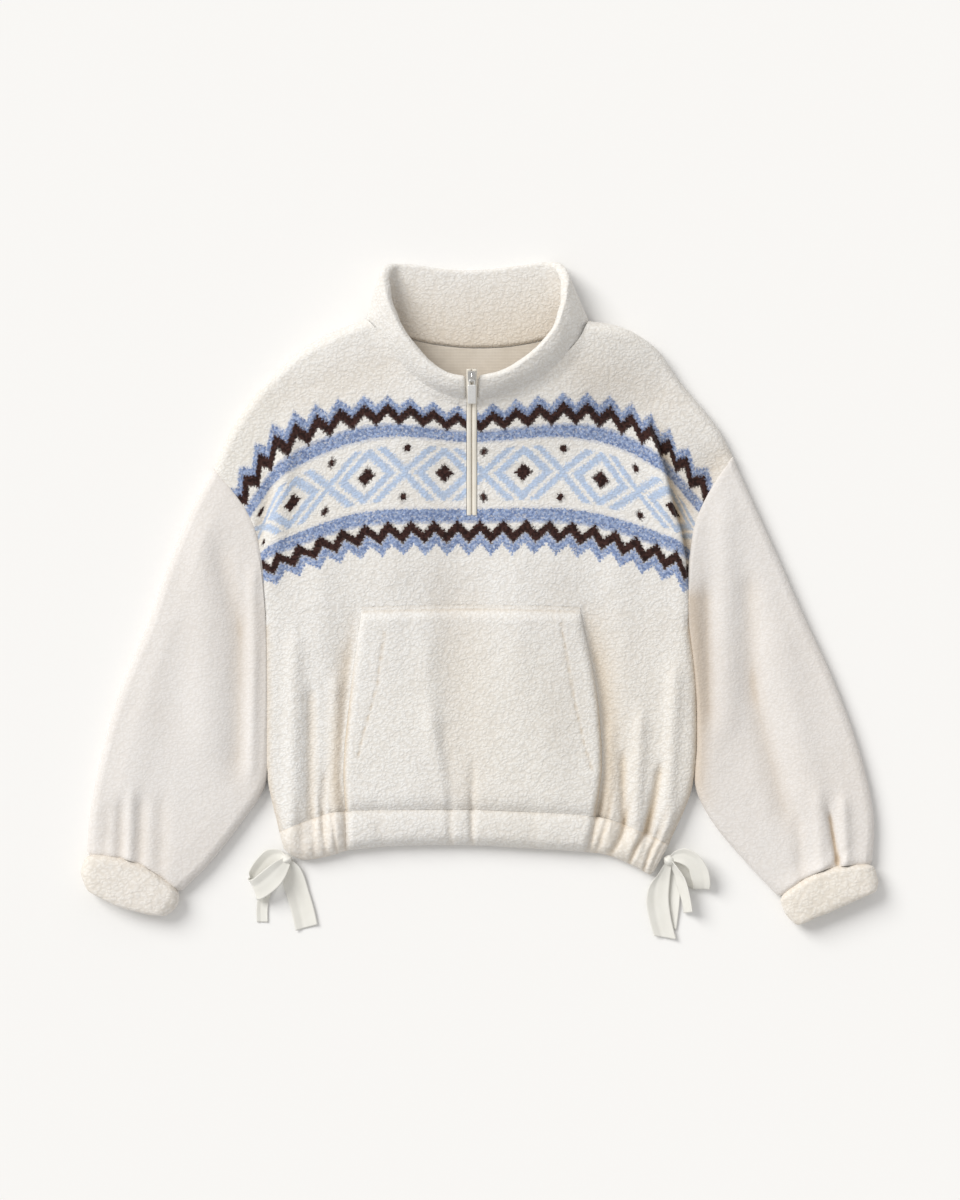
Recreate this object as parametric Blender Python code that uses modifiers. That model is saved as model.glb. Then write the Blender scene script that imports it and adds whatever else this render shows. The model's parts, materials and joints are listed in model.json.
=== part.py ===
# Sherpa fleece half-zip pullover, laid flat on its back on a table.
# +X is the right of the picture, +Y runs from hem to collar and +Z points up off the table.
# Sizes below are in millimetres. The model is built in metres.

import math

import bmesh
import bpy
from mathutils import Matrix, Vector

MM = 0.001

# Cloth
FLEECE = 6.5                 # sherpa fleece, knit and pile together
SHAPED_WALL = 4.8            # the same fleece where it bends tightly, pressed thinner
GATHERED_WALL = 3.6
COLLAR_WALL = 11.0           # two layers of fleece, pressed in the fold
CUFF_WALL = 8.0              # two layers of fleece, gathered
TAPE_WALL = 3.4              # folded zip tape
FACING_WALL = 1.2
RIBBON_WALL = 0.8
SEAM_GAP = 0.4
ARMHOLE_GAP = 0.6
CUFF_SEAM_GAP = 0.9
HEM_SEAM_GAP = 0.9
LAYER_GAP = 0.3

# Heights of the laid-out layers above the table
BACK_TOP = FLEECE
FRONT_LOWEST = BACK_TOP + LAYER_GAP
FRONT_TOP = 17.0
NECK_RISE = 13.0
ARMHOLE_DIP = 2.0
EDGE_ROLL = 13.0             # how far in from a rolled edge the cloth bends
SLEEVE_TOP = 17.0
SLEEVE_EDGE_RADIUS = 7.5
SEAM_BAND = 0.012            # share of the sleeve that runs square off the armhole
SEAM_BAND_WIDTH = 3.0
CUFF_TOP = 24.0
CUFF_EDGE_RADIUS = 10.9
CUFF_PUFF = 1.5
POCKET_LIFT = 0.5
POCKET_PUFF = 2.5

# Columns of the front: distance across the cloth from the middle of the picture
LEFT_EDGE, LEFT_CREASE, POCKET_LEFT, ZIP_LEFT = -238, -205, -135, -15
ZIP_RIGHT, POCKET_RIGHT, RIGHT_FOLD, RIGHT_EDGE = -3, 118, 190, 234
COLUMNS = (LEFT_EDGE, LEFT_CREASE, POCKET_LEFT, ZIP_LEFT, ZIP_RIGHT, POCKET_RIGHT, RIGHT_FOLD, RIGHT_EDGE)

# Rows of the front: distance up the cloth, then x and y where the row crosses each column
HEM_SEAM, POCKET_TOP, ZIP_END, SHOULDER = -235, -5, 92, 290
ROWS = (
    (HEM_SEAM, (-221, -254), (-189, -241), (-148, -231), (-15, -229),
     (-3, -229), (127, -237), (176, -253), (208, -268)),
    (-180, (-233, -197), (-195, -191), (-150, -180), (-15, -175),
     (-3, -175), (134, -180), (192, -191), (234, -202)),
    (-97, (-235, -102), (-198, -100), (-142, -98), (-15, -96),
     (-3, -96), (128, -98), (198, -100), (238, -103)),
    (POCKET_TOP, (-237, -23), (-200, -16), (-130, -7), (-15, -4),
     (-3, -4), (110, -7), (196, -16), (231, -25)),
    (45, (-238, 10), (-207, 23), (-125, 45), (-15, 48), (-3, 48), (108, 46), (203, 20), (230, 4)),
    (ZIP_END, (-241, 48), (-222, 59), (-134, 89), (-15, 94), (-3, 94), (116, 91), (208, 64), (232, 50)),
    (180, (-255, 95), (-217, 144), (-125, 184), (-15, 179), (-3, 179), (122, 184), (197, 151), (243, 100)),
)
# The top edge of the front, in four runs of (column, x, y)
LEFT_SHOULDER = ((LEFT_EDGE, -293, 146), (-228, -277, 183), (-217, -255, 217), (LEFT_CREASE, -234, 242),
                 (-180, -197, 276), (-158, -166, 294), (POCKET_LEFT, -125, 311))
LEFT_NECK = ((POCKET_LEFT, -125, 311), (-120, -110, 291), (-95, -88, 261), (-58, -55, 232),
             (ZIP_LEFT, -15, 219))
RIGHT_NECK = ((ZIP_RIGHT, -3, 219), (32, 32, 228), (58, 56, 238), (92, 92, 264), (108, 110, 287),
              (POCKET_RIGHT, 119, 309))
RIGHT_SHOULDER = ((POCKET_RIGHT, 119, 309), (145, 150, 303), (168, 175, 292), (RIGHT_FOLD, 199, 272),
                  (205, 221, 240), (215, 242, 215), (225, 263, 188), (RIGHT_EDGE, 278, 160))
FRONT_ROWS_LOW = [HEM_SEAM, -210, -180, -146, -112, -76, -40, POCKET_TOP]
ARMPIT = -10                 # row where the armhole ends and the side starts
BACK_NECK_DROP = 31.0        # depth of the back neck below the shoulder points
TABLE_SHIFT = (0.45, -1.5, 0.0)

# Folds and creases: start x, start y, end x, end y, half width, height (a trough is below zero)
BODY_FOLDS = (
    (-212, 168, -226, 45, 11, 4.5),
    (-229, 120, -244, 70, 7, -3.0),
    (190, 185, 219, 50, 13, 8.0),
    (219, 50, 226, -60, 11, 4.0),
    (232, 112, 262, 150, 15, -3.0),
    (-187, -110, -187, -250, 6, -3.2),
    (-171, -200, -172, -250, 5, -3.0),
    (-204, -60, -206, -240, 9, 4.0),
    (-158, -120, -160, -250, 8, 4.0),
    (157, -180, 152, -256, 5, -3.2),
    (187, -160, 170, -262, 6, -3.4),
    (143, -150, 142, -250, 7, 4.0),
    (172, -140, 165, -256, 7, 4.5),
    (207, -90, 204, -250, 10, 4.5),
    (-40, -150, -30, -240, 8, -2.0),
    (-8, -190, -9, -240, 5, -1.6),
    (-175, 30, -172, -80, 18, 2.5),
    (-95, 20, -98, -60, 20, 1.5),
    (40, 30, 42, -80, 22, 1.8),
    (150, 30, 160, -90, 18, 2.0),
)
LEFT_SLEEVE_FOLDS = (
    (-284, 45, -273, 0, 12, -3.0),
    (-264, -38, -267, -170, 13, -3.2),
    (-305, 60, -300, -140, 22, 4.0),
    (-249, 20, -250, -180, 7, 3.0),
    (-352, -40, -385, -200, 20, 2.0),
    (-394, -235, -396, -300, 7, -2.5),
    (-372, -230, -375, -310, 7, -2.5),
)
RIGHT_SLEEVE_FOLDS = (
    (296, 5, 300, -76, 12, -3.2),
    (304, -112, 334, -225, 13, -3.2),
    (268, 80, 272, -120, 15, 4.0),
    (330, -60, 362, -200, 20, 4.0),
    (385, -225, 393, -310, 7, -3.2),
    (372, -215, 376, -320, 8, 4.0),
)
# Gathers of the hem: column at the seam, column at the lower edge, half width, depth
HEM_GATHERS = (
    (-214, -214, 5.0, 3.0), (-196, -196, 5.0, 2.6), (-177, -177, 5.0, 3.2), (-156, -156, 5.0, 3.2),
    (POCKET_LEFT, POCKET_LEFT, 5.0, 3.2), (-46, -46, 5.0, 2.2), (-22, -23, 4.5, 1.8),
    (POCKET_RIGHT, POCKET_RIGHT, 5.0, 3.2), (136, 133, 4.5, 3.2), (156, 151, 5.0, 3.4),
    (180, 176, 5.0, 3.6), (200, 198, 4.5, 3.2), (218, 216, 4.5, 3.0),
)
# Lower edge of the hem: column, x, y
HEM_BOTTOM = (
    (LEFT_EDGE, -216, -273), (-226, -206, -281), (-212, -194, -285), (-190, -177, -283), (-160, -159, -279),
    (POCKET_LEFT, -147, -275), (-90, -95, -270), (-15, -15, -269), (60, 65, -273), (POCKET_RIGHT, 121, -277),
    (140, 141, -280), (165, 163, -289), (200, 180, -298), (218, 187, -301), (RIGHT_EDGE, 192, -297),
)

# Sleeves: outer edge from shoulder tip to cuff, inner edge from armpit to cuff
LEFT_SLEEVE_OUTER = ((-294, 146), (-319, 100), (-341, 45), (-365, -23), (-397, -102), (-418, -176),
                     (-429, -234), (-433, -279))
LEFT_SLEEVE_INNER = ((-240, -12), (-241, -70), (-240, -140), (-239, -200), (-262, -243), (-297, -288),
                     (-330, -321))
RIGHT_SLEEVE_OUTER = ((279, 160), (330, 45), (353, -8), (389, -87), (418, -167), (433, -234), (432, -290))
RIGHT_SLEEVE_INNER = ((234, 0), (241, -60), (247, -109), (248, -160), (241, -210), (256, -243), (295, -290),
                      (329, -326))
# Cuffs: outer edge, inner edge, and how far the seam and the lower edge bow along the sleeve
LEFT_CUFF = {
    "outer": ((-433, -279), (-439, -300), (-433, -319)),
    "inner": ((-330, -321), (-333, -336), (-345, -348)),
    "seam_bow": 12.0, "edge_bow": -6.0,
}
RIGHT_CUFF = {
    "outer": ((432, -290), (438, -308), (437, -320)),
    "inner": ((329, -326), (336, -345), (348, -359)),
    "seam_bow": 12.0, "edge_bow": 0.0,
}

# Collar, from the left of the zip round the back to the right of it:
# seam x, y, z, then rim x, y, z on the outer face, then how far the wall bows out between them
COLLAR_STATIONS = (
    (-15.3, 220, 30, -15.3, 243, 54, 4), (-38, 226.5, 30, -37, 247, 54, 4), (-58, 236, 30, -58, 262, 53, 4),
    (-76, 250, 30, -75, 283, 51, 4), (-92, 268, 30, -87, 301, 49, 4), (-105, 286, 29, -96, 320, 46, 3),
    (-117, 302, 25, -103, 342, 42, 2), (-124.5, 312, 14, -108, 362, 31, 1), (-118, 312, 3.5, -104, 372, 14, 0),
    (-100, 298.5, 0, -92, 374, 2, 0), (-75, 289.5, 0, -70, 373, 0, 0), (-45, 283.2, 0, -45, 369, 0, 0),
    (-10, 280, 0, -10, 367, 0, 0), (30, 281.4, 0, 25, 370, 0, 0), (65, 287.4, 0, 55, 374, 0, 0),
    (92, 296.6, 0, 75, 376, 2, 0), (111, 312, 3.5, 89, 374, 14, 0), (118.5, 311, 14, 96, 360, 31, 1),
    (111.5, 300, 25, 94, 340, 42, 2), (101, 284, 29, 90, 322, 46, 3), (89, 266, 30, 83, 303, 49, 4),
    (72, 250, 30, 68, 282, 51, 4), (52, 237.5, 30, 50, 265, 53, 4), (28, 228, 30, 26, 250, 54, 4),
    (-2.4, 219.5, 30, -2.4, 243, 54, 4),
)
COLLAR_STEPS_BETWEEN = 2
COLLAR_ROWS = 6

# Zip
ZIP_MIDDLE = (ZIP_LEFT + ZIP_RIGHT) / 2
WELT_WIDTH = 5.3
WELT_PROUD = 0.4
COIL_WIDTH = 5.0
COIL_WALL = 1.6
RIM_LANDING = 9.0            # how far the tapes run on over the rim
SLIDER_SIZE = (8.6, 12.0, 3.2)
SLIDER_Y = 246.5             # on the rim, at the top of the zip
SLIDER_CLEAR = 0.3
# Side view of the slider's bridge: distance up the zip, height over the slider
BRIDGE = ((-5.2, -0.9), (-5.2, 2.2), (-4.2, 3.4), (1.6, 3.4), (3.9, 1.6), (3.9, -0.9))
PIVOT = (-3.2, 1.9)          # same directions, middle of the pull's cross bar
WIRE_RADIUS = 0.6
PULL_EYE_HALF = 2.8
PULL_RAIL = 7.5
PULL_TAB = (8.8, 28.0, 1.8)
PULL_SLOPE = math.radians(47)   # the pull lies down the collar

CREAM = (0.84, 0.80, 0.72, 1.0)
WARM_CREAM = (0.83, 0.76, 0.64, 1.0)
COOL_CREAM = (0.83, 0.79, 0.74, 1.0)
BEIGE = (0.72, 0.62, 0.50, 1.0)
RIBBON_WHITE = (0.82, 0.81, 0.78, 1.0)
TAPE_CREAM = (0.80, 0.76, 0.68, 1.0)
SILVER = (0.75, 0.74, 0.72, 1.0)


def clear_scene():
    for item in list(bpy.data.objects):
        bpy.data.objects.remove(item, do_unlink=True)


def new_collection(name):
    collection = bpy.data.collections.new(name)
    bpy.context.scene.collection.children.link(collection)
    return collection


def plain_material(name, colour, roughness=0.9, metallic=0.0):
    material = bpy.data.materials.new(name)
    material.use_nodes = True
    shader = material.node_tree.nodes["Principled BSDF"]
    shader.inputs["Base Color"].default_value = colour
    shader.inputs["Roughness"].default_value = roughness
    shader.inputs["Metallic"].default_value = metallic
    material.diffuse_color = colour
    return material


def smooth(knots, values, at):
    # A smooth curve through the values at the rising knots. The slope at a knot is the one of its
    # neighbours' chord, so knots may be spaced unevenly.
    last = len(knots) - 1
    span = 0
    while span < last - 1 and at > knots[span + 1]:
        span += 1
    width = knots[span + 1] - knots[span]
    t = (at - knots[span]) / width

    def slope(index):
        low, high = max(index - 1, 0), min(index + 1, last)
        return (values[high] - values[low]) / (knots[high] - knots[low])

    first, second = values[span], values[span + 1]
    ease = t * t * (3 - 2 * t)
    rise = t * (1 - t) * (1 - t) * width
    fall = t * t * (1 - t) * width
    return first * (1 - ease) + second * ease + slope(span) * rise - slope(span + 1) * fall


def along(points, share):
    # The point at a share of the way along a smooth curve through plan points
    spots = [Vector(point) for point in points]
    knots = [0.0]
    for first, second in zip(spots, spots[1:]):
        knots.append(knots[-1] + (second - first).length)
    return smooth(knots, spots, share * knots[-1])


def spread(start, end, count):
    return [start + (end - start) * step / count for step in range(count + 1)]


def top_edge(column):
    for run in (LEFT_SHOULDER, LEFT_NECK, RIGHT_NECK, RIGHT_SHOULDER):
        if run[0][0] <= column <= run[-1][0]:
            return smooth([row[0] for row in run], [Vector(row[1:]) for row in run], column)
    share = (column - ZIP_LEFT) / (ZIP_RIGHT - ZIP_LEFT)
    return Vector(LEFT_NECK[-1][1:]).lerp(Vector(RIGHT_NECK[0][1:]), share)


def front_plan(column, row):
    # Where the front's cloth lies in plan
    heights = [line[0] for line in ROWS] + [SHOULDER]
    spots = [smooth(COLUMNS, [Vector(spot) for spot in line[1:]], column) for line in ROWS]
    return smooth(heights, spots + [top_edge(column)], row)


def fold_height(folds, x, y):
    total = 0.0
    for start_x, start_y, end_x, end_y, half_width, height in folds:
        start = Vector((start_x, start_y))
        run = Vector((end_x, end_y)) - start
        offset = Vector((x, y)) - start
        share = offset.dot(run) / run.length_squared
        inside = min(max(share, 0.0), 1.0)
        away = (offset - run * inside).length
        if share != inside:
            away *= 0.6
        total += height * math.exp(-(away / half_width) ** 2)
    return total


def roll(distance, reach=EDGE_ROLL):
    # Share of its full height that rolled cloth has at a distance in from its edge
    inside = min(distance / reach, 1.0)
    return math.sqrt(1.0 - (1.0 - inside) ** 2)


def neck_share(x, y):
    # One at the neckline, falling to nothing about a hand's width below it
    away = math.hypot((x + 6) / 122, (y - 312) / 95)
    fade = min(max((away - 1.0) / 0.95, 0.0), 1.0)
    return 1.0 - fade * fade * (3 - 2 * fade)


def front_height(x, y):
    return FRONT_TOP + NECK_RISE * neck_share(x, y) + fold_height(BODY_FOLDS, x, y)


def side_lowest(row):
    # The sides roll down to the back. Along the armhole the front only dips to the sleeve.
    share = min(max((row - ARMPIT) / 25.0, 0.0), 1.0)
    return FRONT_LOWEST + (FRONT_TOP - ARMHOLE_DIP - FRONT_LOWEST) * share


def front_point(column, row):
    spot = front_plan(column, row)
    height = front_height(spot.x, spot.y)
    left = (spot - front_plan(LEFT_EDGE, row)).length
    right = (spot - front_plan(RIGHT_EDGE, row)).length
    lowest = side_lowest(row)
    height = lowest + (height - lowest) * roll(left) * roll(right)
    for shoulder_end, sign in ((POCKET_LEFT, 1), (POCKET_RIGHT, -1)):
        if (column - shoulder_end) * sign <= 0:
            edge = front_plan(column, SHOULDER)
        else:
            edge = front_plan(shoulder_end, SHOULDER)
        height = FRONT_LOWEST + (height - FRONT_LOWEST) * roll((spot - edge).length)
    return Vector((spot.x, spot.y, height))


def grid_object(name, columns, rows, place, collection):
    # An open sheet: a grid whose points are moved to where place() puts each column and row
    bpy.ops.mesh.primitive_grid_add(x_subdivisions=len(columns) - 1, y_subdivisions=len(rows) - 1, size=2)
    item = bpy.context.object
    item.name = name
    item.data.name = name
    for vertex in item.data.vertices:
        column = columns[round((vertex.co.x + 1) / 2 * (len(columns) - 1))]
        row = rows[round((vertex.co.y + 1) / 2 * (len(rows) - 1))]
        vertex.co = place(column, row) * MM
    for owner in list(item.users_collection):
        owner.objects.unlink(item)
    collection.objects.link(item)
    return item


def finish(item, material):
    item.data.materials.clear()
    item.data.materials.append(material)
    item.data.shade_smooth()
    item.data.set_sharp_from_angle(angle=math.radians(50))
    return item


def thicken(item, wall, lowest, side=-1.0):
    # Gives the sheet its wall and keeps every point of it above the layer below
    modifier = item.modifiers.new("wall", "SOLIDIFY")
    modifier.thickness = wall * MM
    modifier.offset = side
    modifier.use_even_offset = False
    evaluated = item.evaluated_get(bpy.context.evaluated_depsgraph_get())
    mesh = bpy.data.meshes.new_from_object(evaluated)
    item.modifiers.clear()
    item.data = mesh
    for vertex in mesh.vertices:
        vertex.co.z = max(vertex.co.z, lowest * MM)
    return item


def edge_columns(start, end, inner):
    # Columns with the close ones that a rolled edge needs at both ends
    close = (0.0, 0.3, 1.8, 6.0, 12.0)
    return [start + step for step in close] + inner + [end - step for step in reversed(close)]


def make_front(collection, material):
    inner = spread(-218, -146, 8) + [POCKET_LEFT, -116, -96, -76, -56, -36, ZIP_LEFT]
    inner += [ZIP_RIGHT, 18, 40, 62, 84, 102, POCKET_RIGHT] + spread(129, 213, 8)
    columns = edge_columns(LEFT_EDGE, RIGHT_EDGE, inner)
    rows = FRONT_ROWS_LOW + [14, 38, 64, ZIP_END, 120, 150, 180, 210, 238, 260, 275, 285, 289, SHOULDER]
    item = grid_object("front", columns, rows, front_point, collection)
    cut_slit(item)
    return finish(thicken(item, SHAPED_WALL, FRONT_LOWEST), material)


def cut_slit(item):
    # Opens the strip of cloth that the zip takes up
    left, right = ZIP_LEFT * MM, ZIP_RIGHT * MM
    end = front_plan(ZIP_LEFT, ZIP_END).y * MM
    mesh = bmesh.new()
    mesh.from_mesh(item.data)
    strip = []
    for face in mesh.faces:
        middle = face.calc_center_median()
        if left < middle.x < right and middle.y > end:
            strip.append(face)
    bmesh.ops.delete(mesh, geom=strip, context="FACES")
    mesh.to_mesh(item.data)
    mesh.free()


def pocket_point(column, row):
    # The pocket is the front's own cloth shape, moved out and puffed between its seams
    spot = front_point(column, row)
    across = (column - POCKET_LEFT) / (POCKET_RIGHT - POCKET_LEFT)
    up = (row - HEM_SEAM) / (POCKET_TOP - HEM_SEAM)
    puff = POCKET_PUFF * math.sin(math.pi * across) ** 0.5 * math.sin(math.pi * (0.25 + 0.75 * up)) ** 0.7
    return spot + Vector((0, 0, POCKET_LIFT + puff))


def make_pocket(collection, material):
    columns = [POCKET_LEFT, -116, -96, -76, -56, -36, ZIP_LEFT, ZIP_RIGHT, 18, 40, 62, 84, 102, POCKET_RIGHT]
    item = grid_object("pocket", columns, FRONT_ROWS_LOW, pocket_point, collection)
    return finish(thicken(item, FLEECE, FRONT_LOWEST, side=1.0), material)


def hem_plan(column, share):
    seam = front_plan(column, HEM_SEAM) - Vector((0, HEM_SEAM_GAP))
    bottom = smooth([row[0] for row in HEM_BOTTOM], [Vector(row[1:]) for row in HEM_BOTTOM], column)
    return seam.lerp(bottom, share)


def hem_point(column, share):
    spot = hem_plan(column, share)
    lowest = FRONT_LOWEST
    height = front_height(spot.x, spot.y) + 3.0 * math.sin(math.pi * share)
    if POCKET_LEFT < column < POCKET_RIGHT:
        height += 3.0
    for seam_column, edge_column, half_width, depth in HEM_GATHERS:
        middle = seam_column + (edge_column - seam_column) * share
        height -= depth * math.exp(-((column - middle) / half_width) ** 2)
    left = (spot - hem_plan(LEFT_EDGE, share)).length
    right = (spot - hem_plan(RIGHT_EDGE, share)).length
    bottom = (spot - hem_plan(column, 1.0)).length
    height = lowest + (height - lowest) * roll(left) * roll(right) * roll(bottom)
    return Vector((spot.x, spot.y, height))


def make_hem(collection, materials):
    gap = SEAM_GAP / 2
    shares = [0.0, 0.3, 0.58, 0.8, 0.93, 0.99, 1.0]
    left = [LEFT_EDGE + step for step in (0.0, 0.3, 1.6, 5.0)] + spread(-226, POCKET_LEFT - gap, 18)
    centre = spread(POCKET_LEFT + gap, -60, 5) + spread(-52, -10, 8) + spread(12, POCKET_RIGHT - 8, 4)
    centre.append(POCKET_RIGHT - gap)
    right = spread(POCKET_RIGHT + gap, 223, 21) + [RIGHT_EDGE - step for step in (5.0, 1.6, 0.3, 0.0)]
    for name, columns, material in (("hem_left", left, materials[0]), ("hem_centre", centre, materials[1]),
                                    ("hem_right", right, materials[0])):
        item = grid_object(name, columns, list(reversed(shares)), hem_point, collection)
        finish(thicken(item, GATHERED_WALL, FRONT_LOWEST), material)


def flat_outline(name, points, low, high, collection, material):
    # A flat layer of cloth cut to a closed outline
    curve = bpy.data.curves.new(name, "CURVE")
    curve.dimensions = "2D"
    curve.fill_mode = "BOTH"
    curve.extrude = (high - low) / 2 * MM
    spline = curve.splines.new("POLY")
    spline.points.add(len(points) - 1)
    for spot, point in zip(spline.points, points):
        spot.co = (point.x * MM, point.y * MM, 0, 1)
    spline.use_cyclic_u = True
    source = bpy.data.objects.new(name + "_outline", curve)
    collection.objects.link(source)
    bpy.context.view_layer.update()
    mesh = bpy.data.meshes.new_from_object(source.evaluated_get(bpy.context.evaluated_depsgraph_get()))
    collection.objects.unlink(source)
    bpy.data.objects.remove(source)
    welded = bmesh.new()
    welded.from_mesh(mesh)
    bmesh.ops.remove_doubles(welded, verts=welded.verts, dist=0.00001)
    bmesh.ops.recalc_face_normals(welded, faces=welded.faces)
    bmesh.ops.translate(welded, verts=welded.verts, vec=(0, 0, (low + high) / 2 * MM))
    welded.to_mesh(mesh)
    welded.free()
    item = bpy.data.objects.new(name, mesh)
    collection.objects.link(item)
    return finish(item, material)


def back_neck(share):
    # A shallow scoop between the two shoulder points
    left, right = Vector(LEFT_NECK[0][1:]), Vector(RIGHT_NECK[-1][1:])
    spot = left.lerp(right, share)
    return spot - Vector((0, BACK_NECK_DROP * (1 - (2 * share - 1) ** 2) ** 0.8))


def make_back(collection, material):
    left = [front_plan(LEFT_EDGE, row) for row in spread(HEM_SEAM, SHOULDER, 26)]
    left_shoulder = [front_plan(column, SHOULDER) for column in spread(LEFT_EDGE, POCKET_LEFT, 12)[1:-1]]
    neck = [back_neck(share) for share in spread(0, 1, 12)]
    right_shoulder = [front_plan(column, SHOULDER) for column in spread(POCKET_RIGHT, RIGHT_EDGE, 12)[1:-1]]
    right = [front_plan(RIGHT_EDGE, row) for row in spread(SHOULDER, HEM_SEAM, 26)]
    hem = [front_plan(column, HEM_SEAM) for column in spread(RIGHT_EDGE, LEFT_EDGE, 20)[1:-1]]
    flat_outline("back", left + left_shoulder + neck + right_shoulder + right + hem, 0, BACK_TOP,
                 collection, material)


def make_hem_back(collection, material):
    seam = [hem_plan(column, 0.0) for column in spread(LEFT_EDGE, RIGHT_EDGE, 20)]
    right = [hem_plan(RIGHT_EDGE, share) for share in (0.35, 0.7)]
    bottom = [hem_plan(column, 1.0) for column in spread(RIGHT_EDGE, LEFT_EDGE, 24)]
    left = [hem_plan(LEFT_EDGE, share) for share in (0.7, 0.35)]
    flat_outline("hem_back", seam + right + bottom + left, 0, BACK_TOP, collection, material)


def make_neck_tape(collection, material):
    upper = [back_neck(share) - Vector((0, 1.0)) for share in spread(0.14, 0.86, 12)]
    lower = [Vector((-6 + 82 * math.cos(angle), 276 - 42 * math.sin(angle)))
             for angle in spread(0.12, math.pi - 0.12, 12)]
    flat_outline("neck_tape", upper + lower, BACK_TOP + LAYER_GAP, BACK_TOP + LAYER_GAP + FACING_WALL,
                 collection, material)


def tube_loop(radius, top_points, bottom_points):
    # Stations round a flattened tube: share across, distance in from the near edge, and how the
    # height mixes the table, the edge and the top
    loop = [("outer", 0.0, 0.5)]
    for angle in (30, 60, 90):
        turn = math.radians(angle)
        loop.append(("outer", radius * (1 - math.cos(turn)), 0.5 + 0.5 * math.sin(turn)))
    for step in range(1, top_points + 1):
        loop.append(("across", step / (top_points + 1), 1.0))
    for angle in (90, 60, 30):
        turn = math.radians(angle)
        loop.append(("inner", radius * (1 - math.cos(turn)), 0.5 + 0.5 * math.sin(turn)))
    loop.append(("inner", 0.0, 0.5))
    for angle in (45, 90):
        turn = math.radians(angle)
        loop.append(("inner", radius * (1 - math.cos(turn)), 0.5 - 0.5 * math.sin(turn)))
    for step in range(bottom_points, 0, -1):
        loop.append(("across", step / (bottom_points + 1), 0.0))
    for angle in (90, 45):
        turn = math.radians(angle)
        loop.append(("outer", radius * (1 - math.cos(turn)), 0.5 - 0.5 * math.sin(turn)))
    return loop + [loop[0]]


def make_tube(name, plan, top, radius, wall, shares, counts, collection, material):
    # A sleeve or cuff laid flat. plan(across, share) gives the plan point, top(spot, share) its height.
    loop = tube_loop(radius, counts[0], counts[1])

    def place(station, share):
        kind, amount, level = loop[station]
        width = (plan(1.0, share) - plan(0.0, share)).length
        inset = radius / width
        if kind == "outer":
            across = amount / width
        elif kind == "inner":
            across = 1.0 - amount / width
        else:
            across = inset + (1.0 - 2 * inset) * amount
        spot = plan(across, share)
        edge = 2 * radius
        if level == 1.0:
            middle = min(min(across, 1 - across) * width / 30.0, 1.0)
            height = edge + (top(spot, share) - edge) * middle ** 0.7
        else:
            height = edge * level
        return Vector((spot.x, spot.y, height))

    item = grid_object(name, list(range(len(loop))), shares, place, collection)
    sheet = bmesh.new()
    sheet.from_mesh(item.data)
    bmesh.ops.remove_doubles(sheet, verts=sheet.verts, dist=0.00001)
    highest = max(sheet.faces, key=lambda face: face.calc_center_median().z)
    if highest.normal.z < 0:
        bmesh.ops.reverse_faces(sheet, faces=sheet.faces)
    sheet.to_mesh(item.data)
    sheet.free()
    return finish(thicken(item, wall, 0.0), material)


def bow_offset(outer, inner, across, amount):
    # Sideways bow of a seam between its two ends
    run = (inner - outer).normalized()
    normal = Vector((-run.y, run.x))
    if normal.y < 0:
        normal = -normal
    return normal * amount * math.sin(math.pi * across)


def make_sleeve(name, edges, edge_column, cuff, folds, collection, material):
    outer, inner = edges
    side = 1 if edge_column == RIGHT_EDGE else -1

    def plan(across, share):
        start, end = along(outer, share), along(inner, share)
        spot = start.lerp(end, across)
        seam_row = SHOULDER + (ARMPIT - SHOULDER) * across
        seam = front_plan(edge_column, seam_row)
        run = front_plan(edge_column, min(seam_row + 4, SHOULDER)) - front_plan(edge_column, seam_row - 4)
        off_body = Vector((run.y, -run.x)).normalized() * side
        seam += off_body * ARMHOLE_GAP
        if share <= SEAM_BAND:
            return seam + off_body * SEAM_BAND_WIDTH * share / SEAM_BAND
        chord = along(outer, 0.0).lerp(along(inner, 0.0), across)
        spot += (seam - chord) * (1 - share) ** 4
        first, last = along(outer, 1.0), along(inner, 1.0)
        spot += bow_offset(first, last, across, cuff["seam_bow"] + SEAM_GAP) * share ** 8
        return spot

    def top(spot, share):
        return SLEEVE_TOP + fold_height(folds, spot.x, spot.y)

    shares = [0.0, SEAM_BAND, 0.05] + spread(0.11, 0.86, 10) + [0.91, 0.95, 0.98, 1.0]
    return make_tube(name, plan, top, SLEEVE_EDGE_RADIUS, SHAPED_WALL, shares, (10, 3), collection, material)


def make_cuff(name, cuff, collection, material):
    def plan(across, share):
        start, end = along(cuff["outer"], share), along(cuff["inner"], share)
        bow = cuff["seam_bow"] * (1 - share) + cuff["edge_bow"] * share
        drop = Vector((0, -CUFF_SEAM_GAP))
        return start.lerp(end, across) + bow_offset(start, end, across, bow) + drop

    def top(spot, share):
        return CUFF_TOP - CUFF_PUFF * (2 * share - 1) ** 2

    shares = spread(0.0, 1.0, 4)
    return make_tube(name, plan, top, CUFF_EDGE_RADIUS, CUFF_WALL, shares, (6, 3), collection, material)


def collar_point(station, share):
    # Station counts along the table, share runs from the neck seam to the rim
    knots = list(range(len(COLLAR_STATIONS)))
    seam = smooth(knots, [Vector(row[0:3]) for row in COLLAR_STATIONS], station)
    rim = smooth(knots, [Vector(row[3:6]) for row in COLLAR_STATIONS], station)
    bow = smooth(knots, [float(row[6]) for row in COLLAR_STATIONS], station)
    spot = seam.lerp(rim, share) + Vector((0, -0.4, 0.9)) * bow * math.sin(math.pi * share)
    return Vector((spot.x, spot.y, max(spot.z, 0.0)))


def make_collar(collection, material):
    last = len(COLLAR_STATIONS) - 1
    stations = spread(last, 0, last * COLLAR_STEPS_BETWEEN)
    item = grid_object("collar", stations, spread(0, 1, COLLAR_ROWS), collar_point, collection)
    return finish(thicken(item, COLLAR_WALL, 0.0), material)


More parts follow.
